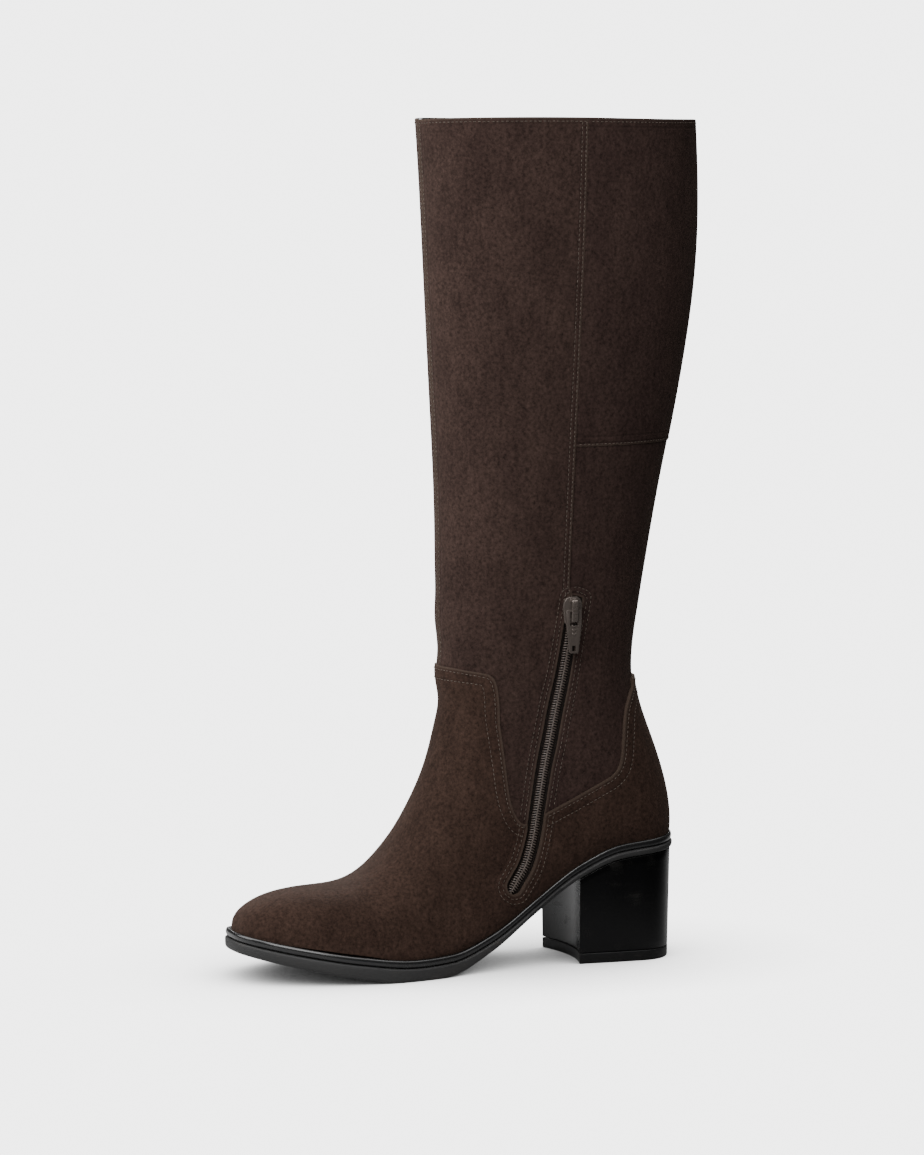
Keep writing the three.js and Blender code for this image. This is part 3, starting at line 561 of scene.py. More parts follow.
class Nodes:
    """A node tree with short calls to add and join nodes."""

    def __init__(self, tree: bpy.types.NodeTree) -> None:
        """Keeps the tree."""
        self.tree = tree

    def add(self, kind: str, inputs: Optional[dict] = None, **settings) -> bpy.types.Node:
        """Adds a node.

        Args:
            kind: node type without the word ShaderNode.
            inputs: socket name or number to a value or to an output socket.
            settings: attributes of the node.

        Returns:
            The new node.
        """
        node = self.tree.nodes.new("ShaderNode" + kind)
        for name, value in settings.items():
            setattr(node, name, value)
        for key, value in (inputs or {}).items():
            if isinstance(value, bpy.types.NodeSocket):
                self.tree.links.new(value, node.inputs[key])
            else:
                node.inputs[key].default_value = value
        return node

    def math(
        self, operation: str, a: Level, b: Level = 0.0, c: Level = 0.0, clamp: bool = False
    ) -> Socket:
        """A Math node's output for values or sockets a, b and c."""
        inputs = {0: a, 1: b, 2: c}
        return self.add("Math", inputs, operation=operation, use_clamp=clamp).outputs[0]

    def noise(
        self, vector: Socket, scale: Level, detail: float, rough: float = 0.5
    ) -> Socket:
        """A noise texture's value at a vector."""
        inputs = {"Vector": vector, "Scale": scale, "Detail": detail, "Roughness": rough}
        return self.add("TexNoise", inputs).outputs["Fac"]

    def ramp(self, value: Socket, low: float, high: float) -> Socket:
        """A value eased from 0 at low to 1 at high."""
        inputs = {"Value": value, "From Min": low, "From Max": high}
        return self.add("MapRange", inputs, interpolation_type="SMOOTHSTEP").outputs["Result"]

    def mix(self, factor: Level, a: Tone, b: Tone, blend: str = "MIX") -> Socket:
        """A colour mix of a and b."""
        inputs = {0: factor} | {
            key: value if isinstance(value, Socket) else (*value, 1.0)
            for key, value in ((6, a), (7, b))
        }
        return self.add("Mix", inputs, data_type="RGBA", blend_type=blend).outputs[2]

    def grey(self, level: Socket) -> Socket:
        """A grey of a level."""
        return self.add("CombineColor", {0: level, 1: level, 2: level}).outputs[0]

    def stretched(self, vector: Socket, x: float, y: float, z: float) -> Socket:
        """A vector scaled along its axes."""
        return self.add("Mapping", {"Vector": vector, "Scale": (x, y, z)}).outputs[0]

    def where(self) -> Socket:
        """Object coordinates, in metres."""
        return self.add("TexCoord").outputs["Object"]

    def send(self, node: bpy.types.Node, sockets: dict[str, Socket]) -> None:
        """Joins sockets to a node's inputs by name."""
        for name, socket in sockets.items():
            self.tree.links.new(socket, node.inputs[name])


def new_group(name: str, inputs: dict[str, object], outputs: tuple[str, ...]) -> Nodes:
    """A shader node group with named sockets, whose nodes "in" and "out" carry them.

    Args:
        name: the group's name.
        inputs: socket name to its default, a number or a colour.
        outputs: socket names; the one named Color is a colour and the others are numbers.

    Returns:
        The nodes of the new group.
    """
    group = bpy.data.node_groups.new(name, "ShaderNodeTree")
    for label, value in inputs.items():
        kind = "NodeSocketFloat" if isinstance(value, float) else "NodeSocketColor"
        socket = group.interface.new_socket(label, in_out="INPUT", socket_type=kind)
        socket.default_value = value if isinstance(value, float) else (*value, 1.0)
    for label in outputs:
        kind = "NodeSocketColor" if label == "Color" else "NodeSocketFloat"
        group.interface.new_socket(label, in_out="OUTPUT", socket_type=kind)
    group.nodes.new("NodeGroupInput").name = "in"
    group.nodes.new("NodeGroupOutput").name = "out"
    return Nodes(group)


def nap_group() -> bpy.types.NodeTree:
    """Suede nap: blotches where the pile lies either way, streaks down the leg and fine flecks.

    Colour goes from Deep to Lit by the blotches, gains flecks, and turns to Raw in the last
    millimetre before a cut edge. Height is pile plus flecks, less the channel under each row.
    """
    inputs = {"Deep": (0.03, 0.02, 0.015), "Lit": (0.08, 0.06, 0.04), "Raw": (0.15, 0.11, 0.08)}
    inputs |= {"Rim": 20.0, "First row": 2.0, "Second row": 6.0}
    n = new_group("nap", inputs, ("Color", "Height", "Rough"))
    given, where = n.tree.nodes["in"].outputs, n.where()
    warp = n.add("TexNoise", {"Vector": where, "Scale": 22.0, "Detail": 3.0}).outputs["Color"]
    bent = n.mix(0.03, where, warp, "ADD")
    blotch = n.noise(n.stretched(bent, 1.0, 1.0, 0.6), 55.0, 4.0, 0.6)
    broad = n.noise(n.stretched(where, 1.0, 1.0, 0.5), 20.0, 3.0, 0.5)
    streak = n.noise(n.stretched(where, 1.0, 1.0, 0.3), 330.0, 3.0, 0.6)
    pile = n.noise(where, 560.0, 4.0, 0.72)
    fleck = n.noise(where, 1250.0, 2.0, 0.7)
    tone = n.math("MULTIPLY", n.ramp(broad, 0.3, 0.7), 0.4)
    tone = n.math("MULTIPLY_ADD", n.ramp(blotch, 0.36, 0.64), 0.6, tone)
    soft = n.math("MULTIPLY_ADD", streak, 0.7, n.math("MULTIPLY_ADD", pile, 2.6, -0.65))
    soft = n.grey(n.math("MAXIMUM", soft, 0.3))
    grained = n.mix(1.0, n.mix(tone, given["Deep"], given["Lit"]), soft, "MULTIPLY")
    spark = n.math("MULTIPLY", n.ramp(fleck, 0.6, 0.8), 0.3)
    flecked = n.mix(spark, grained, given["Raw"])
    edge = n.math("SUBTRACT", 1.0, n.ramp(given["Rim"], 0.3, 1.8))
    torn = n.math("MULTIPLY", edge, n.math("MULTIPLY_ADD", fleck, 0.7, 0.25), clamp=True)
    rows = []
    for row in ("First row", "Second row"):
        off = n.math("ABSOLUTE", n.math("SUBTRACT", given["Rim"], given[row]))
        rows.append(n.math("SUBTRACT", 1.0, n.ramp(off, 0.1, 1.0)))
    channel = n.math("MAXIMUM", *rows)
    raw = n.mix(torn, flecked, given["Raw"])
    height = n.math("MULTIPLY_ADD", pile, 0.8, n.math("MULTIPLY", fleck, 0.35))
    height = n.math("MULTIPLY_ADD", blotch, 0.4, height)
    result = {
        "Color": n.mix(n.math("MULTIPLY", channel, 0.3), raw, given["Deep"]),
        "Height": n.math("MULTIPLY_ADD", channel, -0.75, height),
        "Rough": n.math("MULTIPLY_ADD", pile, 0.1, 0.86),
    }
    n.send(n.tree.nodes["out"], result)
    return n.tree


def grain_group() -> bpy.types.NodeTree:
    """Fine surface of leather, rubber and polish: pores, long scratches and dust in the low parts.

    Height is pores plus scratches, and Dust is a soft mask of their low parts.
    """
    inputs = {"Pores": 1200.0, "Scratches": 300.0, "Depth": 0.5}
    n = new_group("grain", inputs, ("Height", "Dust"))
    given, where = n.tree.nodes["in"].outputs, n.where()
    pores = n.add("TexVoronoi", {"Vector": where, "Scale": given["Pores"]}).outputs["Distance"]
    lines = n.noise(n.stretched(where, 0.25, 0.25, 3.0), given["Scratches"], 4.0)
    height = n.math("MULTIPLY_ADD", pores, given["Depth"], n.math("MULTIPLY", lines, 0.8))
    patches = n.noise(where, 60.0, 5.0, 0.65)
    dust = n.math("MULTIPLY", n.ramp(patches, 0.5, 0.75), n.ramp(lines, 0.4, 0.65))
    n.send(n.tree.nodes["out"], {"Height": height, "Dust": dust})
    return n.tree


def weave_group() -> bpy.types.NodeTree:
    """Cloth of crossed yarns along the surface's own U and V: a product of two sine waves.

    Returns:
        The group.
    """
    n = new_group("weave", {"Across": 12.0, "Along": 12.0}, ("Height", "Fleck"))
    given = n.tree.nodes["in"].outputs
    uv = n.add("SeparateXYZ", {0: n.add("TexCoord").outputs["UV"]}).outputs
    a = n.math("SINE", n.math("MULTIPLY", uv[0], given["Across"]))
    b = n.math("SINE", n.math("MULTIPLY", uv[1], given["Along"]))
    fleck = n.noise(n.where(), 1500.0, 2.0, 0.6)
    n.send(n.tree.nodes["out"], {"Height": n.math("MULTIPLY", a, b), "Fleck": fleck})
    return n.tree


class Effects:
    """The shared node groups, each built once."""

    def __init__(self) -> None:
        """Builds nap, grain and weave."""
        self.nap = nap_group()
        self.grain = grain_group()
        self.weave = weave_group()


@dataclass(frozen=True)
class Finish:
    """A finish with the sockets that are the same all over its surface."""

    name: str
    slot: Slot
    colour: Colour = (0.02, 0.02, 0.02)
    roughness: float = 0.5
    specular: float = 0.5
    metallic: float = 0.0
    coat: float = 0.0
    sheen: float = 0.0
    bump: float = 0.3
    relief: float = 0.2

    def shader(self) -> tuple[bpy.types.Material, Nodes, bpy.types.Node]:
        """Starts the material: its tree and its Principled BSDF with plain sockets set.

        Returns:
            The material, its nodes, and its shader.
        """
        material = bpy.data.materials.new(self.name)
        material.use_nodes = True
        nodes = Nodes(material.node_tree)
        bsdf = material.node_tree.nodes["Principled BSDF"]
        plain = {
            "Base Color": (*self.colour, 1.0),
            "Roughness": self.roughness,
            "Specular IOR Level": self.specular,
            "Metallic": self.metallic,
            "Coat Weight": self.coat,
            "Coat Roughness": 0.12,
            "Sheen Weight": self.sheen,
            "Sheen Roughness": 0.45,
            "Sheen Tint": (0.8, 0.62, 0.5, 1.0),
        }
        for name, value in plain.items():
            bsdf.inputs[name].default_value = value
        return material, nodes, bsdf

    def normal(self, nodes: Nodes, height: Socket) -> Socket:
        """The normal that a height gives through a bump of this finish's relief."""
        inputs = {"Strength": self.bump, "Distance": self.relief * MM, "Height": height}
        return nodes.add("Bump", inputs).outputs[0]

    def material(self, effects: Effects) -> bpy.types.Material:
        """The finished material."""
        return self.shader()[0]


@dataclass(frozen=True)
class Suede(Finish):
    """Napped leather with raw cut edges and pressed stitch channels."""

    specular: float = 0.1
    sheen: float = 0.08
    bump: float = 0.75
    relief: float = 0.35
    deep: Colour = (0.05, 0.0302, 0.0255)
    lit: Colour = (0.071, 0.0437, 0.0362)
    raw: Colour = (0.12, 0.087, 0.068)
    first_row: float = 1.6
    second_row: float = 5.0

    def material(self, effects: Effects) -> bpy.types.Material:
        """Nap colour and height from the shared group, with the rim read from the mesh.

        Args:
            effects: the shared node groups.

        Returns:
            The finished material.
        """
        material, n, bsdf = self.shader()
        tones = {"Deep": (*self.deep, 1.0), "Lit": (*self.lit, 1.0), "Raw": (*self.raw, 1.0)}
        rim = n.add("Attribute", attribute_name="rim").outputs["Fac"]
        rows = {"Rim": rim, "First row": self.first_row, "Second row": self.second_row}
        nap = n.add("Group", tones | rows, node_tree=effects.nap).outputs
        result = {"Base Color": nap["Color"], "Roughness": nap["Rough"]}
        n.send(bsdf, result | {"Normal": self.normal(n, nap["Height"])})
        return material


@dataclass(frozen=True)
class Grained(Finish):
    """Leather, rubber or polish with pores, scratches and a little dust."""

    pores: float = 1200.0
    scratches: float = 300.0
    depth: float = 0.5
    dust: float = 0.2
    dusty: Colour = (0.09, 0.08, 0.07)
    dust_roughness: float = 0.25

    def material(self, effects: Effects) -> bpy.types.Material:
        """Height from the shared grain, and a little dust in colour and roughness.

        Args:
            effects: the shared node groups.

        Returns:
            The finished material.
        """
        material, n, bsdf = self.shader()
        inputs = {"Pores": self.pores, "Scratches": self.scratches, "Depth": self.depth}
        grain = n.add("Group", inputs, node_tree=effects.grain).outputs
        dust, rise = n.math("MULTIPLY", grain["Dust"], self.dust), self.dust_roughness
        rough = n.math("MULTIPLY_ADD", grain["Dust"], rise, self.roughness, clamp=True)
        result = {"Base Color": n.mix(dust, self.colour, self.dusty), "Roughness": rough}
        n.send(bsdf, result | {"Normal": self.normal(n, grain["Height"])})
        return material


@dataclass(frozen=True)
class Woven(Finish):
    """Thread or tape of crossed yarns."""

    across: float = 40.0
    along: float = 9.0
    bright: Colour = (0.2, 0.16, 0.12)

    def material(self, effects: Effects) -> bpy.types.Material:
        """Yarn height and flecks from the shared weave.

        Args:
            effects: the shared node groups.

        Returns:
            The finished material.
        """
        material, n, bsdf = self.shader()
        inputs = {"Across": self.across, "Along": self.along}
        weave = n.add("Group", inputs, node_tree=effects.weave).outputs
        tone = n.mix(n.ramp(weave["Fleck"], 0.35, 0.7), self.colour, self.bright)
        n.send(bsdf, {"Base Color": tone, "Normal": self.normal(n, weave["Height"])})
        return material


@dataclass(frozen=True)
class Palette:
    """Every finish of the boot: name, slot, colour, roughness, specular level, and the rest."""

    # Painted shade: the foot's suede is a darker copy of the front's, for the weaker light low on
    # the boot.
    foot: Suede = Suede(
        "foot suede", Slot.SUEDE,
        second_row=6.4, deep=(0.046, 0.0264, 0.02), lit=(0.07, 0.041, 0.031),
    )
    front: Suede = Suede("front suede", Slot.SUEDE, second_row=3.6)
    # Painted shade: the back's suede is a slightly darker copy of the front's, for the shaded rear
    # of the leg.
    back: Suede = Suede(
        "back suede", Slot.SUEDE,
        sheen=0.07, deep=(0.047, 0.028, 0.0245), lit=(0.066, 0.0405, 0.0342),
    )
    lining: Grained = Grained(
        "black lining", Slot.LINING, (0.006, 0.0055, 0.0055), 0.42, 0.5,
        bump=0.5, relief=0.3, pores=420.0, scratches=60.0, depth=0.9, dust=0.1,
    )
    welt: Grained = Grained(
        "polished welt", Slot.GLOSS, (0.014, 0.014, 0.0145), 0.26, 0.6,
        coat=0.45, bump=0.12, relief=0.12, pores=500.0, scratches=180.0, dust=0.25,
    )
    edge: Grained = Grained(
        "sole edge", Slot.RUBBER, (0.045, 0.0445, 0.0445), 0.55, 0.35,
        bump=0.45, pores=900.0, scratches=240.0, dust=0.5,
    )
    heel: Grained = Grained(
        "heel cover", Slot.GLOSS, (0.0012, 0.0012, 0.0014), 0.22, 0.4,
        bump=0.12, relief=0.12, pores=300.0, scratches=90.0, dust=0.15,
    )
    lift: Grained = Grained(
        "heel lift", Slot.RUBBER, (0.006, 0.006, 0.006), 0.46, 0.4,
        bump=0.4, pores=900.0, scratches=240.0, dust=0.3,
    )
    thread: Woven = Woven(
        "seam thread", Slot.TEXTILE, (0.115, 0.088, 0.07), 0.7, 0.25,
        bump=0.4, relief=0.1, bright=(0.27, 0.22, 0.185),
    )
    tape: Woven = Woven(
        "zip tape", Slot.TEXTILE, (0.011, 0.008, 0.007), 0.85, 0.2,
        bump=0.8, across=44.0, along=900.0, bright=(0.03, 0.022, 0.018),
    )
    coil: Woven = Woven(
        "zip coil", Slot.COIL, (0.13, 0.1, 0.086), 0.24, 0.7,
        bump=0.2, relief=0.08, bright=(0.22, 0.175, 0.15),
    )
    metal: Grained = Grained(
        "dark metal", Slot.METAL, (0.2, 0.165, 0.145), 0.27, 0.6, 0.45,
        relief=0.08, pores=2200.0, scratches=900.0, dust=0.15, dusty=(0.03, 0.025, 0.02),
    )


@dataclass
class Piece:
    """A mesh in the making: millimetre points, faces, and values for each point."""

    name: str
    points: Array
    faces: list = field(default_factory=list)
    values: dict = field(default_factory=dict)
    uv: Optional[Array] = None

    def build(self, shift: Array, closed: bool = True) -> Thing:
        """Makes the object at the origin, its points moved by shift and turned to metres.

        Args:
            shift: millimetres from the form's own place to the frame's.
            closed: whether the faces close, so that they can be turned outwards.

        Returns:
            The new object.
        """
        mesh = bpy.data.meshes.new(self.name)
        mesh.from_pydata(((self.points + shift) * MM).tolist(), [], self.faces)
        for label, value in self.values.items():
            layer = mesh.attributes.new(label, "FLOAT", "POINT")
            layer.data.foreach_set("value", np.asarray(value, np.float32))
        if self.uv is not None:
            corners = np.empty(len(mesh.loops), int)
            mesh.loops.foreach_get("vertex_index", corners)
            layer = mesh.uv_layers.new(name="UVMap")
            layer.data.foreach_set("uv", self.uv[corners].astype(np.float32).ravel())
        mesh.polygons.foreach_set("use_smooth", np.ones(len(mesh.polygons), bool))
        if closed:
            turned_out(mesh)
        thing = bpy.data.objects.new(self.name, mesh)
        bpy.context.scene.collection.objects.link(thing)
        return thing


def turned_out(mesh: bpy.types.Mesh) -> None:
    """Turns a closed mesh's faces outwards."""
    work = bmesh.new()
    work.from_mesh(mesh)
    bmesh.ops.recalc_face_normals(work, faces=work.faces)
    work.to_mesh(mesh)
    work.free()


def rounded(thing: Thing, width: float, segments: int, angle: float) -> None:
    """Adds a bevel of a width in millimetres on edges sharper than an angle in degrees.

    Args:
        thing: the piece.
        width: millimetres.
        segments: steps across the bevel.
        angle: degrees; sharper edges are rounded.
    """
    bevel = thing.modifiers.new("rounded", "BEVEL")
    bevel.width, bevel.segments = width * MM, segments
    bevel.limit_method, bevel.angle_limit = "ANGLE", math.radians(angle)


def grid_faces(rows: int, columns: int, around: bool = True, loop: bool = False) -> Array:
    """Quads of a grid of points, closed round its columns and, if loop, along its rows.

    Args:
        rows: points along.
        columns: points across.
        around: whether the last column joins the first.
        loop: whether the last row joins the first.

    Returns:
        Four point numbers for each quad.
    """
    i = np.arange(rows if loop else rows - 1)[:, None]
    j = np.arange(columns if around else columns - 1)[None, :]
    after, beside = (i + 1) % rows, (j + 1) % columns
    corners = [(i, j), (i, beside), (after, beside), (after, j)]
    return np.stack([a * columns + b for a, b in corners], -1).reshape(-1, 4)


def bar_faces(rows: int, columns: int) -> list:
    """Quads of a grid closed round its columns, with one face over each end."""
    last = (rows - 1) * columns
    ends = [list(range(columns))[::-1], list(range(last, last + columns))]
    return grid_faces(rows, columns).tolist() + ends


def strip_cap(first: int, count: int) -> list:
    """Quads that join the two sides of a ring of an even number of points."""
    half, after = count // 2, first + count
    ends = [[first, first + 1, after - 1], [first + half, first + half + 1, first + half - 1]]
    return ends + [[first + i, first + i + 1, after - i - 1, after - i] for i in range(1, half - 1)]


def wires(name: str, template: Array, sides: int, at: Array, frames: Array, shift: Array) -> Thing:
    """Many short wires as one joined mesh, with U along and V round each.

    Args:
        name: the piece's name.
        template: points of one wire, ring by ring.
        sides: points in a ring.
        at: where each wire goes.
        frames: for each wire its three directions, one per row, which the template's axes follow.
        shift: millimetres from the form's own place to the frame's.

    Returns:
        The piece.
    """
    size, count = len(template), len(at)
    rings = size // sides
    points = at[:, None] + np.einsum("pk,nkc->npc", template, frames)
    first = np.arange(count)[:, None] * size
    quads = (grid_faces(rings, sides)[None] + first[:, None]).reshape(-1, 4).tolist()
    ends = np.vstack([first + np.arange(sides)[::-1], first + np.arange(size - sides, size)])
    along, round_it = np.divmod(np.arange(size), sides)
    uv = np.stack([along / (rings - 1), round_it / sides], 1)
    made = Piece(name, points.reshape(-1, 3), quads + ends.tolist(), {}, np.tile(uv, (count, 1)))
    return made.build(shift)


def dress(
    thing: Thing, finish: Finish, looks: Looks, *nodes: str, body: Body = Body.BOOT
) -> None:
    """Gives a piece its material, body and the CAD nodes that it stands for, and logs it.

    Args:
        thing: the piece.
        finish: its finish.
        looks: the materials by name.
        nodes: CAD nodes that it replaces.
        body: the body that it rides on.
    """
    thing.data.materials.clear()
    thing.data.materials.append(looks[finish.name])
    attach(thing, body.value)
    if nodes:
        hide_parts(*nodes)
    LOG.info("%s: %d faces", thing.name, len(thing.data.polygons))


@dataclass
class Patch:
    """Part of the form's surface cut out along smooth lines."""

    u: Array
    around: Array
    faces: list


class Surface:
    """An even grid of stations and turns over the whole form, from which patches are cut."""

    def __init__(self, step: float, columns: int) -> None:
        """Spaces the stations so that rows lie at most a step apart on the form.

        Args:
            step: millimetres between rows at the most.
            columns: points round each row.
        """
        fine = np.linspace(0.02, LAST.top, 4000)
        walls = LAST.point(fine[:, None], np.linspace(0, math.pi, 5)[None, :])
        size = np.linalg.norm(np.diff(walls, axis=0), axis=2).max(axis=1)
        run = np.concatenate([[0], np.cumsum(size)])
        rows = int(run[-1] / step) + 1
        stations = np.interp(np.linspace(0, run[-1], rows), run, fine)
        self.turn = TURN / columns
        self.u = np.repeat(stations[:, None], columns, 1)
        self.around = np.repeat(np.arange(columns)[None, :] * self.turn, rows, 0)

    def cut(self, outside: Field) -> Patch:
        """Cuts out the part where a field is negative, with its rim on the field's zero line.

        Where a grid edge crosses zero, its nearer end moves along it to the crossing, found by
        halving. A cell with one corner left on either side is split between the other two.

        Args:
            outside: signed distance in millimetres, negative on the part that is kept.

        Returns:
            The patch.
        """
        u, around = self.u.copy(), self.around.copy()
        d = outside(u, around)
        share = np.full(d.shape, 9.0)
        du, da = np.zeros(d.shape), np.zeros(d.shape)
        for axis, way in ((0, 1), (0, -1), (1, 1), (1, -1)):
            beyond = np.roll(d, -way, axis)
            step_u, step_a = np.zeros(d.shape), way * self.turn * axis
            if axis == 0:
                end = -1 if way == 1 else 0
                step_u = np.roll(u, -way, 0) - u
                beyond[end], step_u[end] = d[end], 0
            crossed = (d * beyond < 0) & (np.abs(d) <= np.abs(beyond))
            t = np.abs(d) / np.maximum(np.abs(d) + np.abs(beyond), 1e-12)
            better = crossed & (t < share)
            share = np.where(better, t, share)
            du, da = np.where(better, step_u, du), np.where(better, step_a, da)
        moved = share < 1
        sign, none = np.sign(d[moved]), np.zeros(moved.sum())

        def same(t: Array) -> Array:
            """Whether a share of the way along its edge each point is still on its side."""
            there = outside(u[moved] + t * du[moved], around[moved] + t * da[moved])
            return np.sign(there) == sign

        near = halved(none, none + 1, same, 14)
        u[moved] += near * du[moved]
        around[moved] += near * da[moved]
        d[moved] = 0
        return self.collect(u, around, d)

    def collect(self, u: Array, around: Array, d: Array) -> Patch:
        """Keeps the cells that lie inside, and renumbers the points that they use.

        Args:
            u: stations of the grid after its points have moved.
            around: their turns.
            d: the field there.

        Returns:
            The patch.
        """
        quads = grid_faces(*d.shape)
        at = d.ravel()[quads]
        inside = (at <= 0).all(1) & (at < 0).any(1)
        mixed = (at < 0).any(1) & (at > 0).any(1)
        faces = quads[inside].tolist()
        for k in range(4):
            corner = mixed & (at[:, k] < 0) & (at[:, (k + 1) % 4] <= 0) & (at[:, (k - 1) % 4] <= 0)
            corner &= at[:, (k + 2) % 4] > 0
            faces += quads[corner][:, [(k - 1) % 4, k, (k + 1) % 4]].tolist()
        used = np.unique(np.concatenate([np.ravel(f) for f in faces]))
        number = np.full(d.size, -1)
        number[used] = np.arange(len(used))
        faces = [number[f].tolist() for f in faces]
        return Patch(u.ravel()[used], around.ravel()[used], faces)

    def rows_at(self, outside: Field, level: float, allowed: Field, height: float) -> list[Array]:
        """Lines on which a field has a level, as points and normals at a height above the form.

        Each cell that the line crosses gives one short piece between two grid edges, and pieces
        that share an edge are chained.

        Args:
            outside: the field.
            level: its value along the line.
            allowed: a second field; each chain is kept where it is negative.
            height: millimetres above the form.

        Returns:
            One array for each chain, with a point and a normal in each row.
        """
        f = outside(self.u, self.around) - level
        columns = f.shape[1]
        number = np.arange(f.size).reshape(f.shape)
        right, below = np.roll(f, -1, 1), np.vstack([f[1:], f[-1:]])
        over, down = f * right < 0, f * below < 0
        ids = [number, np.roll(number, -1, 1) + f.size, number + columns, number + f.size]
        hits = [over, np.roll(down, -1, 1), np.vstack([over[1:], over[-1:]]), down]
        ids, hits = np.stack(ids, -1), np.stack(hits, -1)
        cells = hits.sum(-1) == 2
        cells[-1] = False
        pairs = ids[cells][hits[cells]].reshape(-1, 2)
        t_right = f / np.where(over, f - right, 1)
        t_below = f / np.where(down, f - below, 1)
        step = np.vstack([np.diff(self.u, axis=0), np.zeros((1, columns))])
        across = np.stack([self.u, self.around + t_right * self.turn], -1)
        along = np.stack([self.u + t_below * step, self.around], -1)
        where = np.concatenate([across, along]).reshape(-1, 2)
        chains = []
        for chain in chained(pairs):
            u, around = where[chain].T
            kept = np.flatnonzero(allowed(u, around) < 0)
            for run in np.split(kept, np.flatnonzero(np.diff(kept) > 1) + 1):
                if len(run) > 2:
                    at = u[run], around[run]
                    chains.append(np.hstack([LAST.surface(*at, height), LAST.normal(*at)]))
        return chains


def chained(pairs: Array) -> list[list[int]]:
    """Chains of numbers in which each neighbouring two are one of the pairs.

    Args:
        pairs: two numbers in each row.

    Returns:
        Open chains first, and a closed one with its first number again at its end.
    """
    near: dict[int, list[int]] = {}
    for a, b in pairs.tolist():
        near.setdefault(a, []).append(b)
        near.setdefault(b, []).append(a)
    chains = []
    starts = [k for k, v in near.items() if len(v) == 1] + list(near)
    seen: set[int] = set()
    for start in starts:
        if start in seen:
            continue
        chain, here = [start], start
        seen.add(start)
        while True:
            following = [k for k in near[here] if k not in seen]
            if not following:
                break
            here = following[0]
            seen.add(here)
            chain.append(here)
        if len(near[chain[-1]]) == 2 and chain[0] in near[chain[-1]] and len(chain) > 3:
            chain.append(chain[0])
        chains.append(chain)
    return [chain for chain in chains if len(chain) > 2]


def meet(*fields: Field) -> Field:
    """A field that is negative where all the given ones are: their greatest value.

    Args:
        fields: the given ones.

    Returns:
        The new field.
    """

    def greatest(u: Array, around: Array) -> Array:
        """The greatest of the fields at each point."""
        return np.maximum.reduce([one(u, around) for one in fields])

    return greatest


def moved(inner: Field, by: float, way: int = 1) -> Field:
    """A field with millimetres added, after a way of -1 has turned it inside out.

    Args:
        inner: the field.
        by: millimetres to add.
        way: 1, or -1 to turn it inside out first.

    Returns:
        The new field.
    """

    def there(u: Array, around: Array) -> Array:
        """The changed field at each point."""
        return way * inner(u, around) + by

    return there


